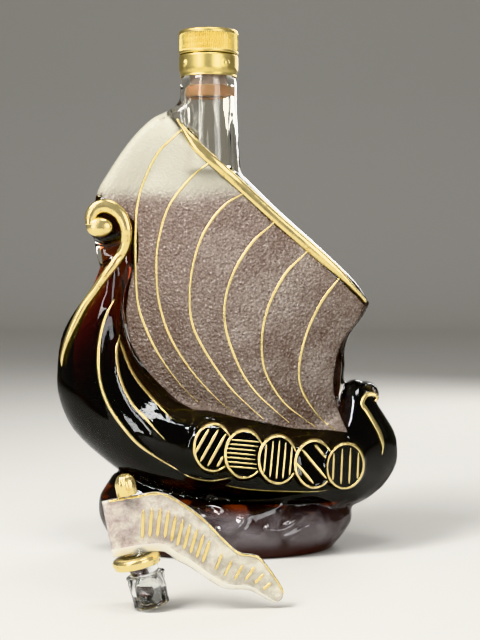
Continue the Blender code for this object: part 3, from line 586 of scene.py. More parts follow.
def neck_profile():
    """(Radius, height) of the neck: a cone from the sail's head, a bead and the lip."""
    neck, bead, finish = 15.2, 14.6, 13.7
    return ((17.6, 203.0), (17.2, 208.0), (16.5, 216.0), (15.9, 226.0), (15.4, 236.0),
            (neck, 245.0), (neck, LIP_TOP - 24.0), (neck - 0.8, LIP_TOP - 21.9),
            (bead - 0.9, LIP_TOP - 21.4), (bead, LIP_TOP - 20.0), (bead, LIP_TOP - 12.6),
            (finish, LIP_TOP - 11.6), (finish, LIP_TOP - 1.0), (finish - 0.8, LIP_TOP))


def gusset_rings(inset=0.0):
    """Fillet between the neck and the head of the sail: ovals whose left end draws in."""
    table = smooth_path(((226.0, -31.0, 12.6), (233.0, -32.2, 12.2), (236.1, -31.2, 11.8),
                         (237.7, -28.4, 11.6), (239.9, -25.9, 11.4), (243.0, -24.5, 11.0),
                         (248.0, -24.1, 10.4)), 24)
    turn = full_turn(60)
    height, left, deep = (table[:, axis:axis + 1] for axis in range(3))
    left, deep = left + inset, deep - inset
    half = 0.5 * (NECK_X - left)
    return grid_of(left + half + half * np.cos(turn), deep * np.sin(turn), height)


def bore_profile():
    """(Radius, height) of the bore: straight at the lip, widening into the sail's hollow."""
    return ((12.6, 188.0), (12.4, 206.0), (11.8, 222.0), (11.1, 238.0), (10.9, 246.0),
            (10.9, LIP_TOP + 4.0))


def ripple(angle, height, radius):
    """Upright waves left in the neck by the plunger: two sines of the angle, faded upward."""
    fade = ease((236.0 - height) / 10.0)
    return fade * (0.34 * np.sin(6 * angle + 0.7) + 0.24 * np.sin(11 * angle + 2.0))


def relief_of(x, z, rise):
    """Height of the moulded relief at places in the side view.

    A strake, crest or swirl is a ridge whose height falls with distance as a bell curve;
    the channel round the sail's foot is the same curve turned down.
    """
    height = np.zeros(len(x))
    ridges = [(path, 0.9, 1.5) for path in STRAKES + KEEL_LINES + (PANEL_EDGE,)]
    ridges += [(WAVE_CREST, 2.2, 2.6), (CHANNEL, -1.9, 2.2)]
    ridges += [(path, 1.7, 2.0) for path in SWIRLS]
    for points, size, width in ridges:
        gap, share = distance_to(smooth_path(points, 60), x, z)
        fade = ease(share / 0.08) * ease((1 - share) / 0.08)
        height += rise * size * fade * np.exp(-(gap / width) ** 2)
    return height


def build_glass(settings):
    """Fused outer glass with its relief, and the hollow above the brandy cut from it."""
    wide, narrow = 11.6, 9.0
    plate = ((-11.6, 0.80), (-11.4, 0.90), (-10.4, 0.98), (-8.5, 1.0), (8.5, 1.0),
             (10.4, 0.98), (11.4, 0.90), (11.6, 0.80))
    thin_plate = [(y * narrow / wide, share) for y, share in plate]
    solids = [tube(sail_rings(0.0)), tube(hull_rings(0.0)), tube(foot_rings(0.0)),
              tube(disc_rings(PROW_CURL, (11.3, 11.3), plate)),
              tube(disc_rings(STERN_CURL, (6.4, 6.4), thin_plate)),
              tube(turned_rings(neck_profile(), 120, (NECK_X, 0.0))), tube(gusset_rings())]
    solids += [tube(shield_rings(place, side)) for place in SHIELDS for side in (-1, 1)]
    shell = make_piece("bottle_shell", solids)
    fuse(shell, settings.grain, 8)
    points = points_of(shell)
    lifted = np.abs(points[:, 1]) > 3.0
    rise = relief_of(points[lifted, 0], points[lifted, 2], settings.relief / MM)
    points[lifted, 1] += np.sign(points[lifted, 1]) * rise
    spare = np.array((0.0, 0.5, 0.0))
    put_points(shell, np.clip(points, GLASS_LOW + spare, GLASS_HIGH - spare))

    bore = turned_rings(bore_profile(), 96, (NECK_X, 0.0), ripple)
    hollow = make_piece("hollow", [tube(sail_rings(settings.wall / MM)),
                                   tube(gusset_rings(3.2)), tube(bore)])
    fuse(hollow, settings.grain, 4)
    cut(hollow, slab(FILL_HEIGHT, 400.0), "INTERSECT")
    cut(shell, hollow, "DIFFERENCE")
    return shell


def slab(low, high):
    """A wide block between two heights: one rectangle carried straight up."""
    corner = np.array(((-150.0, -90.0), (150.0, -90.0), (150.0, 90.0), (-150.0, 90.0)))
    rings = [np.column_stack([corner, np.full(4, height)]) for height in (low, high)]
    return make_piece("slab", [tube(rings)])


def build_liquid(settings):
    """The brandy: hull, sail and foot drawn in by the wall and cut level at the fill."""
    wall = settings.wall / MM
    thicker_foot = 4.0
    curl = ((-8.0, 0.7), (-7.5, 0.9), (-6.0, 1.0), (6.0, 1.0), (7.5, 0.9), (8.0, 0.7))
    liquid = make_piece("brandy_fill", [
        tube(sail_rings(wall)), tube(hull_rings(wall)), tube(foot_rings(wall + thicker_foot)),
        tube(disc_rings((PROW_CURL[0], PROW_CURL[1] - 1.0), (8.0, 8.4), curl))])
    fuse(liquid, settings.grain * 1.3, 4)
    cut(liquid, slab(-10.0, FILL_HEIGHT - 0.1), "INTERSECT")
    return liquid


def glass_depth(x, z, glass):
    """How far the glass stands from the middle plane at places in the side view.

    Points start well in front and slide back along Y until they meet the glass; places
    beside the glass take the nearest depth along their row.
    """
    ahead = 60.0
    starts = np.column_stack([x.ravel(), np.full(x.size, -ahead), z.ravel()])
    probe = make_piece("probe", [(starts, [])], closed=False)
    slide = probe.modifiers.new("Slide", "SHRINKWRAP")
    slide.target = glass
    slide.wrap_method = "PROJECT"
    slide.use_project_y = True
    settle(probe)
    depth = -points_of(probe)[:, 1]
    bpy.data.objects.remove(probe)
    met = depth < ahead - 1.0
    order = np.arange(depth.size)
    return np.interp(order, order[met], depth[met]).reshape(x.shape)


def ribbon(centre, widths, steps):
    """Places across a side-view path, and their shares of its half-width from -1 to 1.

    The shares are the cosine of equal angles, which sets the steps close at the edges.
    """
    along = np.gradient(centre, axis=0)
    along /= np.linalg.norm(along, axis=1)[:, None]
    over = np.column_stack([-along[:, 1], along[:, 0]])
    share = -np.cos(np.linspace(0.0, math.pi, steps))
    place = centre[:, None] + over[:, None] * (0.5 * widths[:, None] * share)[..., None]
    return place, share


def domed(place, crown, under):
    """Closed solid over a ribbon's places between the depths Y of its crown and underside."""
    top, low = (grid_of(place[..., 0], depth, place[..., 1]) for depth in (crown, under))
    return tube(np.concatenate([top, low[:, ::-1]], axis=1))


def gilt_band(path, widths, rise, glass, side, sink=0.12, even=1):
    """A domed band of gold carried along a path on the glass.

    Across the band the height follows the square root of one less the squared share, a
    half ellipse.  Where even is given, the band bridges the hollows under it: the depth is
    the deepest of the nearby steps, averaged over that many steps each way.
    """
    count, steps, bridge = len(widths), 9, 1.6
    place, share = ribbon(smooth_path(path, count), widths, steps)
    depth = glass_depth(place[..., 0], place[..., 1], glass)
    if even > 1:
        depth = np.repeat(depth.max(axis=1)[:, None], steps, axis=1)
        for reach, blend in ((even // 2, np.max), (even, np.mean)):
            padded = np.pad(depth, ((reach, reach), (0, 0)), mode="edge")
            near = [padded[shift:shift + count] for shift in range(2 * reach + 1)]
            depth = blend(near, axis=0)
        sink += bridge
    size = rise * np.minimum(1.0, 0.45 + widths / widths.max())
    crown = depth + size[:, None] * np.sqrt(np.clip(1 - share ** 2, 0, 1))
    return domed(place, side * crown, side * (depth - sink))


def taper(count, start, end):
    """Shares of width along a band: eased up from start over its first eighth, and down to
    end over its last quarter.
    """
    share = np.linspace(0.0, 1.0, count)
    return np.minimum(lerp(start, 1.0, ease(share / 0.12)),
                      lerp(end, 1.0, ease((1 - share) / 0.25)))


# ======================================================================================
# Materials: each recipe gives what its material's output node takes
# ======================================================================================
def add_node(tree, kind, inputs=None, **settings):
    """Add a node, set its properties, and set each input to a value or link it.

    A hex colour is turned to linear, and a node stands for its first output in use.
    """
    node = tree.nodes.new("ShaderNode" + kind)
    for name, value in settings.items():
        setattr(node, name, value)
    for name, value in (inputs or {}).items():
        if isinstance(value, bpy.types.Node):
            value = next(output for output in value.outputs if output.enabled)
        if isinstance(value, bpy.types.NodeSocket):
            tree.links.new(value, node.inputs[name])
        else:
            node.inputs[name].default_value = (hex_colour(value) if isinstance(value, str)
                                               else value)
    return node


def material_of(recipe, *colours):
    """The material of a recipe, named after it and made the first time it is asked for.

    A recipe takes a function that adds nodes, the Object coordinates, and its colours.
    """
    name = recipe.__name__
    if name in bpy.data.materials:
        return bpy.data.materials[name]
    material = bpy.data.materials.new(name)
    material.use_nodes = True
    material.node_tree.nodes.clear()
    add = partial(add_node, material.node_tree)
    coords = add("TexCoord").outputs["Object"]
    add("OutputMaterial", recipe(add, coords, *colours))
    return material


def every(millimetres):
    """Scale of a pattern whose features lie this many millimetres apart."""
    return 1.0 / (millimetres * MM)


def moulded_soda_lime_glass(add, coords, tint):
    """Soda-lime glass pressed in a mould: clear and glossy, with slow waves in the skin."""
    wave = add("TexNoise", {"Vector": coords, "Scale": every(14.3), "Detail": 2.0,
                            "Roughness": 0.4})
    bump = add("Bump", {"Height": wave, "Strength": 0.25, "Distance": 1.2 * MM})
    return {"Surface": add("BsdfPrincipled", {
        "Base Color": tint, "Roughness": 0.04, "IOR": 1.50, "Transmission Weight": 1.0,
        "Normal": bump})}


def seeded_foot_glass(add, coords):
    """Thick wavy glass of the foot: full of small seeds, so it looks smoky over the brandy.

    Next to the table it is painted with a dark red glow, for light that comes through the brandy;
    it is smoky on the waves, and near black where it meets the hull, with a few patches of
    painted ember-red glow.
    """
    height = add("SeparateXYZ", {"Vector": coords}).outputs["Z"]
    cloud = add("TexNoise", {"Vector": coords, "Scale": every(16.7), "Detail": 3.0,
                             "Distortion": 0.6})
    share = add("MapRange", {"Value": cloud, "From Min": 0.38, "From Max": 0.66})
    smoky = add("Mix", {0: share, 6: "#574340", 7: "#BDB3B6"}, data_type="RGBA")
    low = add("MapRange", {"Value": height, "From Min": 2.0 * MM, "From Max": 11.0 * MM},
              interpolation_type="SMOOTHSTEP")
    # Painted glow: dark red next to the table, for light that comes through the brandy.
    painted_low_glow = add("Mix", {0: low, 6: "#4E1C14", 7: smoky}, data_type="RGBA")
    high = add("MapRange", {"Value": height, "From Min": 19.0 * MM, "From Max": 28.0 * MM},
               interpolation_type="SMOOTHSTEP")
    # Painted glow: ember-red patches at the waist, for light shining through the brandy.
    ember = add("MapRange", {"Value": cloud, "From Min": 0.56, "From Max": 0.66})
    waist = add("Mix", {0: ember, 6: "#1C1210", 7: "#A8481C"}, data_type="RGBA")
    colour = add("Mix", {0: high, 6: painted_low_glow, 7: waist}, data_type="RGBA")
    wave = add("TexNoise", {"Vector": coords, "Scale": every(11.76), "Detail": 2.0,
                            "Roughness": 0.4})
    bump = add("Bump", {"Height": wave, "Strength": 0.5, "Distance": 2.5 * MM})
    return {"Surface": add("BsdfPrincipled", {
        "Base Color": colour, "Roughness": 0.04, "IOR": 1.52, "Transmission Weight": 0.7,
        "Normal": bump})}


def aged_brandy(add, coords, colour):
    """Brandy: clear, deep amber that turns to near black where it is thick.

    Light reaches it through glass of nearly its own index, so its surface hardly bends it.
    """
    shader = add("BsdfPrincipled", {"Base Color": "#FFFFFF", "Roughness": 0.0,
                                    "IOR": 1.03, "Transmission Weight": 1.0})
    drink = add("VolumeAbsorption", {"Color": colour, "Density": 740.0})
    return {"Surface": shader, "Volume": drink}


def etched_sail_glass(add, coords, pale, stained):
    """Acid-etched glass over a crackled mould: matt, with sparkling grains.

    It is pale above the brandy and mauve before it, browner low down and lighter in
    patches towards the stern.
    """
    place = add("SeparateXYZ", {"Vector": coords})
    along, height = place.outputs["X"], place.outputs["Z"]
    cloud = add("TexNoise", {"Vector": coords, "Scale": every(23.8), "Detail": 4.0,
                             "Roughness": 0.6})
    # The brandy's level wanders by up to a centimetre where it shows through the etching.
    edge = add("Math", {0: cloud, 1: 10.0 * MM, 2: height}, operation="MULTIPLY_ADD")
    above = add("MapRange", {"Value": edge, "From Min": (FILL_HEIGHT - 6.0) * MM,
                             "From Max": (FILL_HEIGHT + 8.0) * MM},
                interpolation_type="SMOOTHSTEP")
    # The crackle's real grains are about 1 mm; they are drawn at 1.2 mm so that they show.
    grain = add("TexNoise", {"Vector": coords, "Scale": every(1.22), "Detail": 3.0,
                             "Roughness": 0.75})
    crystal = add("TexVoronoi", {"Vector": coords, "Scale": every(1.5625),
                                 "Randomness": 1.0}, feature="F1")
    low = add("MapRange", {"Value": height, "From Min": 62.0 * MM, "From Max": 150.0 * MM})
    browner = add("Mix", {0: low, 6: "#69564A", 7: stained}, data_type="RGBA")
    aft = add("MapRange", {"Value": along, "From Min": -50.0 * MM, "From Max": 30.0 * MM})
    lighter = add("MapRange", {"Value": cloud, "From Min": 0.38, "From Max": 0.66})
    patches = add("Math", {0: lighter, 1: aft}, operation="MULTIPLY")
    body = add("Mix", {0: patches, 6: browner, 7: "#ADA095"}, data_type="RGBA")
    pits = add("MapRange", {"Value": grain, "From Min": 0.32, "From Max": 0.47})
    pitted = add("Mix", {0: pits, 6: "#5F4B42", 7: body}, data_type="RGBA")
    glint = add("MapRange", {"Value": grain, "From Min": 0.56, "From Max": 0.74})
    filled = add("Mix", {0: glint, 6: pitted, 7: "#DDD3C9"}, data_type="RGBA")
    colour = add("Mix", {0: above, 6: filled, 7: pale}, data_type="RGBA")
    relief = add("Math", {0: grain, 1: crystal}, operation="ADD")
    calm = add("MapRange", {"Value": above, "To Min": 1.0, "To Max": 0.16})
    bump = add("Bump", {"Height": relief, "Strength": calm, "Distance": 0.9 * MM})
    satin = add("MapRange", {"Value": cloud, "From Min": 0.35, "From Max": 0.65,
                             "To Min": 0.40, "To Max": 0.24})
    shader = add("BsdfPrincipled", {"Base Color": colour, "Roughness": satin, "IOR": 1.52,
                                    "Normal": bump})
    glow = add("BsdfTranslucent", {"Color": colour, "Normal": bump})
    return {"Surface": add("MixShader", {0: 0.22, 1: shader, 2: glow})}


def fired_bright_gold(add, coords, bright, worn):
    """Liquid bright gold, brushed on and fired: a thin mirror-like film, worn in patches."""
    patches = add("TexNoise", {"Vector": coords, "Scale": every(3.85), "Detail": 5.0,
                               "Roughness": 0.65})
    rubbed = add("MapRange", {"Value": patches, "From Min": 0.56, "From Max": 0.78})
    colour = add("Mix", {0: rubbed, 6: bright, 7: worn}, data_type="RGBA")
    matt = add("MapRange", {"Value": patches, "From Min": 0.35, "From Max": 0.75,
                            "To Min": 0.14, "To Max": 0.34})
    bump = add("Bump", {"Height": patches, "Strength": 0.14, "Distance": 0.4 * MM})
    return {"Surface": add("BsdfPrincipled", {
        "Base Color": colour, "Metallic": 1.0, "Roughness": matt, "Normal": bump})}


def gold_anodised_aluminium(add, coords, foil):
    """Spun and anodised aluminium: satin gold with faint turning lines round the axis."""
    stretch = add("Mapping", {"Vector": coords,
                              "Scale": (every(16.7), every(16.7), every(0.3333))})
    lines = add("TexNoise", {"Vector": stretch, "Scale": 1.0, "Detail": 3.0})
    cloud = add("TexNoise", {"Vector": coords, "Scale": every(8.333), "Detail": 3.0})
    matt = add("MapRange", {"Value": cloud, "To Min": 0.24, "To Max": 0.40})
    rubbed = add("MapRange", {"Value": cloud, "From Min": 0.45, "From Max": 0.75})
    colour = add("Mix", {0: rubbed, 6: foil, 7: "#CDB678"}, data_type="RGBA")
    bump = add("Bump", {"Height": lines, "Strength": 0.12, "Distance": 0.2 * MM})
    return {"Surface": add("BsdfPrincipled", {
        "Base Color": colour, "Metallic": 1.0, "Roughness": matt, "Normal": bump})}


def copper_polythene(add, coords, copper):
    """Injection-moulded polythene with copper pigment: waxy, a little light passes through."""
    swirl = add("TexNoise", {"Vector": coords, "Scale": every(5.56), "Detail": 3.0,
                             "Distortion": 1.5})
    colour = add("Mix", {0: swirl, 6: copper, 7: "#DFA673"}, data_type="RGBA")
    return {"Surface": add("BsdfPrincipled", {
        "Base Color": colour, "Roughness": 0.30, "IOR": 1.5, "Transmission Weight": 0.3,
        "Subsurface Weight": 0.3, "Subsurface Radius": (0.004, 0.002, 0.001),
        "Subsurface Scale": 1.0})}


def natural_polythene(add, coords):
    """Natural polythene of the insert's tube: clear and faintly pink.

    It is so thin that it hardly bends the light, hence the low index.
    """
    haze = add("TexNoise", {"Vector": coords, "Scale": every(4.55), "Detail": 2.0})
    bump = add("Bump", {"Height": haze, "Strength": 0.2, "Distance": 0.4 * MM})
    return {"Surface": add("BsdfPrincipled", {
        "Base Color": "#F3E2DA", "Roughness": 0.12, "IOR": 1.2, "Transmission Weight": 0.6,
        "Normal": bump})}


def foamed_polythene_wad(add, coords):
    """Expanded polythene wad: off-white, matt and finely pitted."""
    cells = add("TexVoronoi", {"Vector": coords, "Scale": every(0.4)})
    colour = add("Mix", {0: cells, 6: "#E4E0D6", 7: "#C9C4B8"}, data_type="RGBA")
    bump = add("Bump", {"Height": cells, "Strength": 0.4, "Distance": 0.2 * MM})
    return {"Surface": add("BsdfPrincipled", {
        "Base Color": colour, "Roughness": 0.7, "Normal": bump})}


def satin_stopper_glass(add, coords):
    """Acid-polished glass of the stopper: milky and cloudy inside, wet-looking outside.

    The hoist is pinker than the fly.
    """
    cloud = add("TexNoise", {"Vector": coords, "Scale": every(7.69), "Detail": 5.0,
                             "Roughness": 0.72, "Distortion": 0.3})
    share = add("MapRange", {"Value": cloud, "From Min": 0.36, "From Max": 0.64})
    along = add("SeparateXYZ", {"Vector": coords}).outputs["X"]
    aft = add("MapRange", {"Value": along, "From Min": -45.0 * MM, "From Max": 0.0})
    shade = add("Mix", {0: aft, 6: "#B39F9A", 7: "#C8C2B0"}, data_type="RGBA")
    colour = add("Mix", {0: share, 6: "#F0EBDF", 7: shade}, data_type="RGBA")
    dimples = add("TexNoise", {"Vector": coords, "Scale": every(4.76), "Detail": 3.0,
                               "Distortion": 0.8})
    bump = add("Bump", {"Height": dimples, "Strength": 0.55, "Distance": 1.0 * MM})
    return {"Surface": add("BsdfPrincipled", {
        "Base Color": colour, "Roughness": 0.14, "IOR": 1.5, "Transmission Weight": 0.40,
        "Subsurface Weight": 0.4, "Subsurface Radius": (0.006, 0.005, 0.004),
        "Subsurface Scale": 1.0, "Coat Weight": 0.5, "Coat Roughness": 0.05,
        "Normal": bump})}


def painted_bright_rim_glass(add, coords):
    """Thick lower rim of the flag: painted nearly white, a painted highlight for the light that gathers in
    the rounded glass.
    """
    cloud = add("TexNoise", {"Vector": coords, "Scale": every(6.67), "Detail": 3.0})
    colour = add("Mix", {0: cloud, 6: "#FBF8F0", 7: "#D9D3C4"}, data_type="RGBA")
    return {"Surface": add("BsdfPrincipled", {
        "Base Color": colour, "Roughness": 0.16, "IOR": 1.5, "Transmission Weight": 0.2,
        "Subsurface Weight": 0.6, "Subsurface Radius": (0.006, 0.006, 0.005),
        "Subsurface Scale": 1.0, "Coat Weight": 0.5, "Coat Roughness": 0.05})}


def clear_moulded_styrene(add, coords):
    """Moulded clear plastic of the sleeve: glassy, with faint flow lines.

    Its index is lowered, as that of a thin wall, so that the shank shows inside it.
    """
    flow = add("TexNoise", {"Vector": coords, "Scale": every(6.25), "Detail": 2.0,
                            "Distortion": 1.0})
    bump = add("Bump", {"Height": flow, "Strength": 0.2, "Distance": 0.4 * MM})
    return {"Surface": add("BsdfPrincipled", {
        "Base Color": "#F8F9F8", "Roughness": 0.05, "IOR": 1.30, "Transmission Weight": 1.0,
        "Normal": bump})}


def seamless_paper(add, coords, colour):
    """Seamless paper: matt, with a barely visible tooth."""
    tooth = add("TexNoise", {"Vector": coords, "Scale": every(2.5), "Detail": 3.0})
    bump = add("Bump", {"Height": tooth, "Strength": 0.05, "Distance": 0.5 * MM})
    return {"Surface": add("BsdfPrincipled", {
        "Base Color": colour, "Roughness": 0.85, "Normal": bump})}


def gold_of(scene):
    """The one gold that the ship and the stopper share."""
    gilding = scene.decanter_gilding
    return material_of(fired_bright_gold, gilding.bright, gilding.worn)


def etching_of(scene):
    """The etched glass that the sail's faces and its luff share."""
    glass = scene.decanter_glass
    return material_of(etched_sail_glass, glass.etched, glass.stained)


# ======================================================================================
# Operators
# ======================================================================================
class DECANTER_OT_glass(bpy.types.Operator):
    """Make the fused glass of the ship and the brandy in it"""
    bl_idname = "decanter.glass"
    bl_label = "Glass and brandy"

    def execute(self, context):
        settings = context.scene.decanter_glass
        shell = build_glass(settings)
        finish_faces(shell, (material_of(moulded_soda_lime_glass, settings.tint),
                             etching_of(context.scene), material_of(seeded_foot_glass)),
                     self.marks(face_centres(shell)))
        tie(shell, "root", "bottle_glass")
        liquid = build_liquid(settings)
        finish_faces(liquid, (material_of(aged_brandy, settings.brandy),),
                     np.zeros(len(liquid.data.polygons)))
        tie(liquid, "root", "brandy")
        return {"FINISHED"}

    def marks(self, centre):
        """1 on the luff's etched rim down to the prow's curl, 2 on the foot, 0 elsewhere."""
        rim_low, rim_high, rim_width = 191.0, 236.0, 3.2
        near = np.flatnonzero((centre[:, 2] > rim_low) & (centre[:, 2] < rim_high)
                              & (centre[:, 0] < LUFF_EDGE[0][0] + 0.6))
        gap, _ = distance_to(smooth_path(LUFF_EDGE[:6], 60), centre[near, 0], centre[near, 2])
        marks = np.zeros(len(centre))
        marks[near[gap < rim_width]] = 1
        marks[centre[:, 2] < FOOT_HEIGHT - 0.5 + 0.12 * np.clip(-centre[:, 0], 0, 60)] = 2
        return marks


class DECANTER_OT_sail(bpy.types.Operator):
    """Lay the etched field on both faces of the sail"""
    bl_idname = "decanter.sail"
    bl_label = "Etched sail"

    def execute(self, context):
        columns, rows = 150, 190
        sunk, proud, border_share = -0.25, 0.22, 0.008
        across, down = np.meshgrid(np.linspace(0, 1, columns), np.linspace(0, 1, rows))
        place = patch(ETCH_HEAD, ETCH_LUFF, ETCH_FOOT, ETCH_LEECH, across, down)
        depth = glass_depth(place[..., 0], place[..., 1], bpy.data.objects["bottle_shell"])
        border = np.minimum.reduce([across, 1 - across, down, 1 - down])
        depth += lerp(sunk, proud, ease(border / border_share))
        faces = grid_faces(rows, columns)
        for side, end in SIDES:
            points = grid_of(place[..., 0], side * depth, place[..., 1])
            skin = make_piece("etched_sail_" + end, [(points, [faces[:, ::side]])],
                              etching_of(context.scene), closed=False)
            tie(skin, "root")
        return {"FINISHED"}


class DECANTER_OT_gilding(bpy.types.Operator):
    """Brush the gold on the yard, prow, stern, seams, strakes and shields"""
    bl_idname = "decanter.gilding"
    bl_label = "Gilding"

    def execute(self, context):
        settings = context.scene.decanter_gilding
        gold = gold_of(context.scene)
        rise, seam, yard = (size / MM for size in (settings.rise, settings.seam_width,
                                                   settings.yard_width))
        line_widths = (1.8, 1.4, 1.2, 0.55, 0.55)
        for side, end in SIDES:
            band = partial(gilt_band, glass=bpy.data.objects["bottle_shell"], side=side)
            groups = {
                "yard": [band(YARD_PATH, yard * taper(150, 0.25, 0.3), rise, even=8)],
                "prow": self.prow(rise, band),
                "stern": [band(STERN_PATH, 2.5 * taper(90, 0.5, 0.3), 0.8 * rise)],
                "seams": [band(path, seam * taper(150, 0.5, 0.4), 0.55, sink=0.25)
                          for path in SEAMS],
                "strakes": [band(path, width * taper(120, 0.3, 0.3), 0.4, sink=0.15)
                            for path, width in zip(STRAKES + KEEL_LINES, line_widths)],
                "shields": self.shields(band)}
            for part, solids in groups.items():
                piece = make_piece(f"gilt_{part}_{end}", solids, gold)
                carried = part in ("yard", "prow", "stern")
                tie(piece, "root", f"{part}_gilding_{end}" if carried else None)
        return {"FINISHED"}

    def prow(self, rise, band):
        """The scroll: a wide ribbon that curls over, runs down the stem and thins out."""
        share = np.linspace(0.0, 1.0, 240)
        widths = np.interp(share, (0.0, 0.05, 0.14, 0.24, 0.36, 0.55, 0.8, 0.97, 1.0),
                           (4.6, 6.4, 7.6, 6.6, 5.6, 4.8, 4.3, 2.2, 0.8))
        x, z = np.array(PROW_BALL)[:, None]
        depth = glass_depth(x, z, band.keywords["glass"])[0]
        crown = np.linspace(0.0, QUARTER, 14)
        dome = np.column_stack([band.keywords["side"] * (depth - 0.5 + 3.2 * np.sin(crown)),
                                np.cos(crown) + 0.01])
        return [band(PROW_PATH, widths, 1.5 * rise, even=4),
                tube(disc_rings(PROW_BALL, (7.0, 5.2), dome))]

    def shields(self, band):
        """Rings and bars on the five shields; each shield hides the edge of the one before."""
        # Slant in degrees, number and width of each shield's bars.
        bars = ((60, 4, 1.35), (-5, 7, 0.8), (84, 5, 1.0), (-50, 3, 1.5), (88, 4, 1.1))
        solids = []
        for (x, z), (slant, count, width), cover in zip(SHIELDS, bars, (*SHIELDS[1:], None)):
            turn = full_turn(240)[0] + (0.0 if cover else math.pi)
            loop = np.column_stack([x + 9.9 * np.cos(turn), z + 11.9 * np.sin(turn)])
            loop = loop[self.clear_of(loop, cover)] if cover else np.vstack([loop, loop[:2]])
            solids.append(band(loop[::6], 1.5 * taper(130, 0.6, 0.6), 0.5, sink=0.2))
            angle = math.radians(slant)
            ahead = np.array((math.cos(angle), math.sin(angle)))
            aside = np.array((-ahead[1], ahead[0]))
            for place in np.linspace(-0.68, 0.68, count):
                half = 9.6 * math.sqrt(1 - place ** 2)
                line = (np.array((x, z)) + aside * place * 9.8
                        + np.linspace(-half, half, 41)[:, None] * ahead)
                if cover:
                    line = line[self.clear_of(line, cover)]
                if len(line) > 8:
                    solids.append(band(line[::4], width * taper(30, 0.5, 0.5), 0.35, sink=0.2))
        return solids

    def clear_of(self, line, cover):
        """Which points of a line lie outside the shield that covers it."""
        return (((line - cover) / (SHIELD_SIZE[0] + 0.1, SHIELD_SIZE[1])) ** 2).sum(axis=1) > 1.0


class DECANTER_OT_closure(bpy.types.Operator):
    """Make the knurled cap, the tamper band, the wad and the pouring insert"""
    bl_idname = "decanter.closure"
    bl_label = "Closure"

    def execute(self, context):
        settings = context.scene.decanter_closure
        foil = material_of(gold_anodised_aluminium, settings.foil)
        self.cap(settings, foil)
        self.band(foil)
        self.insert(settings)
        wad = bpy.data.objects["cap_liner"]
        wad.data.materials.clear()
        wad.data.materials.append(material_of(foamed_polythene_wad))
        return {"FINISHED"}

    def cap(self, settings, foil):
        """Knurled shell: flutes all round, rolled thread turns and a rounded crown."""
        top, low = CAP_HIGH[2], CAP_LOW[2]
        wall, corner, pitch, pole = 0.6, 1.6, 3.175, 0.02
        shoulder = CAP_RADIUS - corner
        outer = [(pole, top)] + [(share * shoulder, top) for share in (0.4, 0.9, 1.0)]
        outer += [(shoulder + corner * math.sin(step), top - corner + corner * math.cos(step))
                  for step in np.linspace(0.0, QUARTER, 9)[1:]]
        outer += [(CAP_RADIUS, height) for height in np.linspace(top - 2.0, low + 0.8, 44)]
        inner = [(CAP_RADIUS - 0.12, low + 0.3), (CAP_RADIUS - 0.45, low),
                 (CAP_RADIUS - wall, low)]
        inner += [(CAP_RADIUS - wall, height) for height in np.linspace(low + 0.5, top - 2.0, 20)]
        inner += [(shoulder, top - 0.7), (pole, top - 0.7)]
        depth, count = settings.knurl_depth / MM, settings.knurls

        def swell(angle, height, radius):
            """Flutes: a cosine round the wall.  Groove: a bell curve, one pitch up a turn."""
            on_wall = ease((radius - CAP_RADIUS + 1.1) / 0.8)
            on_knurl = ease((top - 2.2 - height) / 0.8) * ease((height - low - 1.4) / 0.6)
            flutes = -depth * (0.5 - 0.5 * np.cos(count * angle)) * on_knurl
            climb = height - low - 2.6 - pitch * angle / TURN
            groove = sum(np.exp(-((climb - pitch * step) / 0.75) ** 2) for step in (0, 1, 2))
            grooved = (height >= low + 2.0) & (height <= top - 3.5)
            return on_wall * (flutes - 0.12 * groove * grooved)

        rings = turned_rings(outer + inner, count * 8, (NECK_X, 0.0), swell)
        tie(make_piece("cap_knurled", [tube(rings)], foil), "cap", "cap_shell")

    def band(self, foil):
        """Tamper band: a plain ring with four round pips, rolled in under the neck's bead."""
        top, low = BAND_HIGH[2], BAND_LOW[2]
        # How far each point lies inside the cap's radius, and its height.
        outline = [(0.55, top), (0.25, top - 0.3), (0.05, top - 0.6)]
        outline += [(0.0, height) for height in np.linspace(top - 1.0, low + 4.2, 26)]
        outline += [(0.1, low + 3.5), (0.35, low + 2.7), (0.7, low + 1.9), (0.95, low + 1.2),
                    (1.0, low + 0.7), (0.75, low + 0.35), (0.7, low + 0.1), (0.9, low),
                    (1.15, low + 0.1), (1.15, low + 0.6), (0.8, low + 2.6), (0.65, low + 3.2),
                    (0.65, top - 0.8), (0.75, top)]

        def swell(angle, height, radius):
            """Pips: flat-topped bell curves a quarter turn apart.  Hem: a low sine round."""
            pips = 0.0
            for place in (math.radians(degrees) for degrees in (218, 308, 38, 128)):
                off = np.angle(np.exp(1j * (angle - place))) * CAP_RADIUS
                pips = pips + np.exp(-((off ** 2 + (height - low - 6.4) ** 2) / 3.2) ** 1.5)
            wave = 0.07 * np.sin(5 * angle + 1.0) * ease((low + 4.5 - height) / 3.0)
            return 0.9 * pips + wave - 0.07

        rings = turned_rings(inside(CAP_RADIUS, outline), 480, (NECK_X, 0.0), swell)
        tie(make_piece("tamper_ring", [ring_solid(rings)], foil), "band",
            "tamper_band")

    def insert(self, settings):
        """Pouring insert: a thin tube with a thick sealing ring at its lower end."""
        low, top = INSERT_LOW[2], INSERT_HIGH[2]
        outer = 0.5 * (INSERT_HIGH[0] - INSERT_LOW[0]) + 0.45
        ring = low + 6.2
        outline = ((0.9, low), (0.2, low + 0.3), (0.0, low + 0.9), (0.0, ring - 0.9),
                   (0.2, ring - 0.2), (0.9, ring), (1.0, ring + 0.8), (1.0, top - 3.6),
                   (0.0, top - 2.6), (0.0, top), (2.2, top), (2.2, low + 1.0), (1.8, low + 0.1))
        rings = turned_rings(inside(outer, outline), 96, (NECK_X, 0.0))
        piece = make_piece("pourer", [ring_solid(rings)])
        piece.data.set_sharp_from_angle(angle=math.radians(40))
        finish_faces(piece, (material_of(copper_polythene, settings.copper),
                             material_of(natural_polythene)),
                     face_centres(piece)[:, 2] > ring + 0.3)
        tie(piece, "root", "pouring_insert")


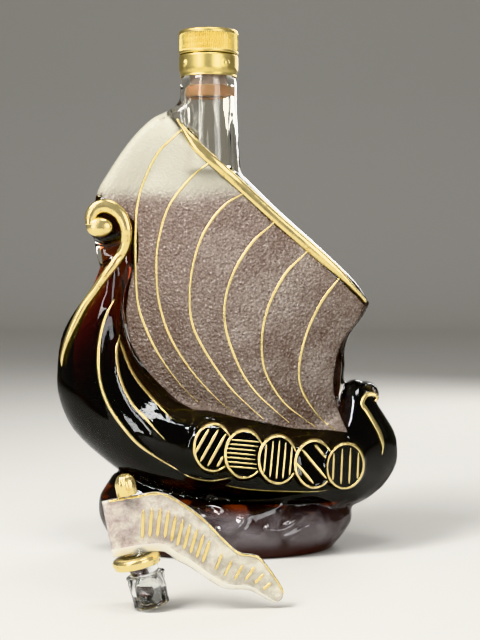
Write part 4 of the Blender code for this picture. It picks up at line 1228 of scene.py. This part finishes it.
def lean(points):
    """Turn upright stopper points about Y, towards the flag, and stand them on the rim."""
    cosine, sine = math.cos(-STOPPER_LEAN), math.sin(-STOPPER_LEAN)
    lowest = (SLEEVE_RADIUS - SLEEVE_TAPER) * math.sin(STOPPER_LEAN) + 0.3
    x, y, z = (points[..., axis] for axis in range(3))
    return grid_of(STOPPER_PLACE[0] + cosine * x + sine * z, STOPPER_PLACE[1] + y,
                   lowest - sine * x + cosine * z)


class DECANTER_OT_stopper(bpy.types.Operator):
    """Make the pennant stopper: flag, mast, finial, collar and sleeve"""
    bl_idname = "decanter.stopper"
    bl_label = "Pennant stopper"

    def execute(self, context):
        gold = gold_of(context.scene)
        self.glass()
        self.finish("pennant_edges", self.edging(), gold, "fired_gold")
        self.finish("finial_acorn", [self.finial()], gold, "fired_gold", "stopper_finial")
        self.finish("collar_gilt", [self.collar()], gold, "fired_gold", "stopper_collar")
        self.finish("sleeve_clear", [self.sleeve()], material_of(clear_moulded_styrene),
                    "clear_plastic", "stopper_sleeve")
        return {"FINISHED"}

    def finish(self, name, solids, material, slot, node=None):
        """Lean a stopper piece into place and tie it to the stopper's body."""
        placed = [(lean(np.asarray(points)), faces) for points, faces in solids]
        piece = make_piece(name, placed, material)
        tie(piece, "stopper", node)
        return piece

    def glass(self):
        """Flag, shank and mast, with a lower rim painted near white as a highlight and a clear shank in the
        sleeve.
        """
        collar_top = COLLAR_BOTTOM + COLLAR_THICK
        core = SLEEVE_RADIUS - SLEEVE_TAPER - SLEEVE_WALL - 0.35
        sides = 72
        shank = turned_rings(((core - 0.6, 1.5), (core, 2.1), (core, SLEEVE_LENGTH + 0.3),
                              (SHANK_RADIUS, SLEEVE_LENGTH + 0.9),
                              (SHANK_RADIUS, collar_top - 0.3), (2.4, collar_top + 0.6),
                              (2.2, collar_top + 3.0)), sides)
        mast = turned_rings(((1.6, 46.0), (1.8, FINIAL_BOTTOM - 1.0),
                             (MAST_RADIUS, FINIAL_BOTTOM), (MAST_RADIUS, MAST_TOP)), 40)
        flag = self.flag()
        glass = self.finish("pennant_glass", [tube(flag), tube(shank), tube(mast)], None,
                            "frosted_glass", "stopper_glass")
        rows, columns = flag.shape[:2]
        marks = np.zeros(len(glass.data.polygons))
        around = np.arange((rows - 1) * columns) % columns / columns
        # Mark 2: the flag's lower rim, painted near white as a highlight.
        marks[:around.size][np.minimum(around, 1 - around) < 0.115] = 2
        first = around.size + 2 * columns
        marks[first:first + (len(shank) + 1) * sides] = 1
        finish_faces(glass, [material_of(recipe) for recipe in (
            satin_stopper_glass, clear_moulded_styrene, painted_bright_rim_glass)], marks)

    def surface(self, along, up):
        """Middle of the flag: a blend of its edges, swung out by a sine that grows along it."""
        share = np.linspace(0.0, 1.0, 200)
        lower, upper = (np.stack([np.interp(along, share, column) for column in
                                  smooth_path(path, 200).T], axis=-1)
                        for path in (PENNANT_FOOT, PENNANT_TOP))
        place = lerp(lower, upper, up[..., None])
        swing = 2.2 * np.sin(TURN * along * 1.3) * along
        return place[..., 0], swing, place[..., 1]

    def flag(self):
        """Flag: ovals between the two edges, thick in the middle and round at the rims."""
        turn = full_turn(96)
        along, up = np.broadcast_arrays(np.linspace(0.0, 1.0, 120)[:, None],
                                        0.5 - 0.5 * np.cos(turn))
        x, swing, z = self.surface(along, up)
        ends = round_off(along / 0.02, 0.2) * round_off((1 - along) / 0.04, 0.1)
        half = np.sign(np.sin(turn)) * self.half_depth(up, np.abs(np.sin(turn))) * ends
        return grid_of(x, swing - half, z)

    def half_depth(self, up, roundness):
        """Half the flag's thickness: a power of its roundness, less the sunk face's ease."""
        sunk = 0.7 * ease((up - 0.13) / 0.06) * ease((0.97 - up) / 0.05)
        return 3.0 * roundness ** 0.45 - sunk

    def stroke(self, start, end, width, rise):
        """A gilt bar on the flag's front, between two (along, up) places."""
        count, steps = 24, 7
        line = lerp(np.array([start]), np.array([end]), np.linspace(0, 1, count)[:, None])
        x, swing, z = self.surface(line[:, 0], line[:, 1])
        roundness = np.sin(np.arccos(np.clip(1 - 2 * line[:, 1], -1, 1)))
        base = (swing - self.half_depth(line[:, 1], roundness))[:, None]
        place, share = ribbon(np.column_stack([x, z]), width * taper(count, 0.4, 0.4), steps)
        return domed(place, base - rise * np.sqrt(1 - share ** 2), base + 0.5)

    def edging(self):
        """A gold line under the flag's upper edge, and plain raised bars as ornament."""
        stops = np.linspace(0.03, 0.97, 13)
        solids = [self.stroke((here, 0.978), (after + 0.004, 0.978), 1.0, 0.45)
                  for here, after in zip(stops[:-1], stops[1:])]
        for first, last, count, low, high, width, rise in (
                (0.17, 0.52, 10, 0.26, 0.74, 1.7, 0.7), (0.60, 0.88, 6, 0.30, 0.72, 1.4, 0.55)):
            solids += [self.stroke((along, low), (along + 0.012, high), width, rise)
                       for along in np.linspace(first, last, count)]
        return solids

    def finial(self):
        """Acorn finial: a dome with soft ribs, turned over a short straight skirt."""
        ribs, rib_depth = 9, 0.32
        middle = FINIAL_BOTTOM + 0.42 * FINIAL_HEIGHT
        dome = FINIAL_BOTTOM + FINIAL_HEIGHT - middle
        profile = [(MAST_RADIUS + 0.3, FINIAL_BOTTOM), (FINIAL_RADIUS - 0.3, FINIAL_BOTTOM),
                   (FINIAL_RADIUS, FINIAL_BOTTOM + 0.4), (FINIAL_RADIUS, middle)]
        profile += [(FINIAL_RADIUS * math.cos(step) ** 0.75 + 0.02,
                     middle + dome * math.sin(step)) for step in np.linspace(0, QUARTER, 16)[1:]]

        def swell(angle, height, radius):
            """Ribs: a cosine round the dome, faded in above the skirt's edge."""
            return (-rib_depth * (0.5 - 0.5 * np.cos(ribs * angle))
                    * ease((height - FINIAL_BOTTOM) / 2))

        return tube(turned_rings(profile, 12 * ribs, swell=swell))

    def collar(self):
        """Gilt collar: a rounded disc with a waist line, eased off towards the hoist."""
        low, top, hole = COLLAR_BOTTOM, COLLAR_BOTTOM + COLLAR_THICK, 6.95
        rim = inside(COLLAR_RADIUS, (
            (1.6, low), (0.9, low + 0.2), (0.6, low + 0.7), (0.7, low + 1.1), (0.5, low + 1.5),
            (0.1, low + 2.1), (0.0, low + 2.9), (0.2, low + 3.7), (0.7, top - 0.5),
            (1.5, top - 0.1), (2.2, top)))
        profile = [(hole, low), *rim, (3.2, top + 0.1), (3.2, top - 0.15), (hole, top - 0.2)]
        rings = turned_rings(profile, 96)
        away = ease((np.hypot(rings[..., 0], rings[..., 1]) - hole) / 2.0)
        rings[..., 0] -= COLLAR_OFFSET * away
        return ring_solid(rings)

    def sleeve(self):
        """Clear sleeve: a fluted cone between two plain rims, open right through."""
        tip = SLEEVE_RADIUS - SLEEVE_TAPER
        inner = tip - SLEEVE_WALL
        flutes, flute_depth = 14, 0.10
        profile = [(inner, 0.0), (tip - 0.3, 0.0), (tip, 0.3), (tip, 1.5), (tip - 0.1, 2.0)]
        profile += [(lerp(tip, SLEEVE_RADIUS, share) - 0.15, lerp(2.2, SLEEVE_LENGTH - 1.6, share))
                    for share in np.linspace(0, 1, 8)]
        profile += inside(SLEEVE_RADIUS, (
            (0.1, SLEEVE_LENGTH - 1.2), (0.0, SLEEVE_LENGTH - 0.9), (0.0, SLEEVE_LENGTH - 0.3),
            (0.3, SLEEVE_LENGTH), (SLEEVE_RADIUS - inner, SLEEVE_LENGTH)))

        def swell(angle, height, radius):
            """Flutes: a cosine's sixth power on the outside, faded out at both rims."""
            fluted = ease((height - 1.9) / 0.4) * ease((SLEEVE_LENGTH - 1.3 - height) / 0.4)
            outside = radius > inner + 0.5
            return -flute_depth * np.cos(0.5 * flutes * angle) ** 6 * fluted * outside

        return ring_solid(turned_rings(profile, 144, swell=swell))


class DECANTER_OT_stage(bpy.types.Operator):
    """Set the pale paper, the soft lights and the camera"""
    bl_idname = "decanter.stage"
    bl_label = "Stage"

    def execute(self, context):
        settings = context.scene.decanter_stage
        self.paper(settings)
        self.lights(context.scene)
        self.camera(context.scene, settings)
        return {"FINISHED"}

    def paper(self, settings):
        """Paper sweep: flat to behind the ship, then a quarter circle up to a wall."""
        front, start, bow, high, half_width = -9000.0, 2200.0, 600.0, 4000.0, 9000.0
        bend = np.linspace(0.0, QUARTER, 24)[1:]
        curve = [(front, 0.0), (start, 0.0)]
        curve += [(start + bow * math.sin(step), bow - bow * math.cos(step)) for step in bend]
        curve.append((start + bow, high))
        y, z = (np.array(column)[:, None] for column in zip(*curve))
        wide = np.linspace(-half_width, half_width, 3)[None, :]
        faces = grid_faces(len(curve), 3)[:, ::-1]
        make_piece("paper_sweep", [(grid_of(wide, y, z), [faces])],
                            material_of(seamless_paper, settings.sweep), closed=False)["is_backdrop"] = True

    def lights(self, scene):
        """A window-like softbox high on the left, a low fill, a rim light and a dim sky."""
        world = bpy.data.worlds.new("dim_studio")
        scene.world = world
        world.use_nodes = True
        sky = world.node_tree.nodes["Background"].inputs
        sky["Color"].default_value = hex_colour("#D4D2D0")
        sky["Strength"].default_value = 0.58
        # Place and aim in metres, width and height in metres, power in watts.
        for name, place, target, size, power in (
                ("window", (-0.50, -0.40, 0.80), (-0.04, 0.0, 0.08), (0.32, 0.42), 10.0),
                ("strip", (-0.42, -0.62, 0.34), (-0.01, 0.0, 0.20), (0.10, 0.55), 1.8),
                ("fill", (0.65, -0.90, 0.40), (0.0, 0.0, 0.15), (0.45, 0.6), 4.5),
                ("top", (0.10, -0.22, 0.90), (0.0, 0.0, 0.10), (0.26, 0.16), 2.0),
                ("back", (0.40, 0.75, 0.55), (0.0, 0.0, 0.14), (0.5, 0.5), 4.5)):
            lamp = bpy.data.lights.new(name, "AREA")
            lamp.shape = "RECTANGLE"
            lamp.size, lamp.size_y = size
            lamp.energy = power
            self.aim(scene, name, lamp, place, target)

    def camera(self, scene, settings):
        """The camera looks a little down at the ship from straight in front."""
        lens = bpy.data.cameras.new("camera")
        lens.sensor_width = 36.0
        lens.lens = 77.8
        aside, tilt = 0.008, math.radians(2.6)
        distance, height = settings.camera_distance, settings.camera_height
        scene.camera = self.aim(scene, "camera", lens, (aside, -distance, height),
                                (aside, 0.0, height - math.tan(tilt) * distance))
        scene.view_settings.view_transform = "Khronos PBR Neutral"

    def aim(self, scene, name, data, place, target):
        """Put a lamp or a lens at a place and point it at a target."""
        item = bpy.data.objects.new(name, data)
        scene.collection.objects.link(item)
        item.location = place
        way = Vector(target) - Vector(place)
        item.rotation_euler = way.to_track_quat("-Z", "Y").to_euler()
        return item


class DECANTER_PT_panel(bpy.types.Panel):
    """Lists the settings and the steps that make the decanter"""
    bl_idname = "DECANTER_PT_panel"
    bl_label = "Ship decanter"
    bl_space_type = "VIEW_3D"
    bl_region_type = "UI"
    bl_category = "Decanter"

    def draw(self, context):
        for group in GROUPS:
            box = self.layout.box()
            for name in GROUPS[group].__annotations__:
                box.prop(getattr(context.scene, group), name)
        for operator in OPERATORS:
            self.layout.operator(operator.bl_idname)


GROUPS = {"decanter_glass": GlassSettings, "decanter_gilding": GildingSettings,
          "decanter_closure": ClosureSettings, "decanter_stage": StageSettings}
OPERATORS = (DECANTER_OT_glass, DECANTER_OT_sail, DECANTER_OT_gilding, DECANTER_OT_closure,
             DECANTER_OT_stopper, DECANTER_OT_stage)


def register():
    for item in (*GROUPS.values(), *OPERATORS, DECANTER_PT_panel):
        bpy.utils.register_class(item)
    for name, group in GROUPS.items():
        setattr(bpy.types.Scene, name, PointerProperty(type=group))


def unregister():
    for name in GROUPS:
        delattr(bpy.types.Scene, name)
    for item in (DECANTER_PT_panel, *reversed(OPERATORS), *reversed(GROUPS.values())):
        bpy.utils.unregister_class(item)


def main():
    register()
    bpy.ops.decanter.glass()
    bpy.ops.decanter.sail()
    bpy.ops.decanter.gilding()
    bpy.ops.decanter.closure()
    bpy.ops.decanter.stopper()
    bpy.ops.decanter.stage()
    boxes = [[list(corner) for corner in box] for box in (LOADED_BOX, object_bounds())]


if __name__ == "__main__":
    main()
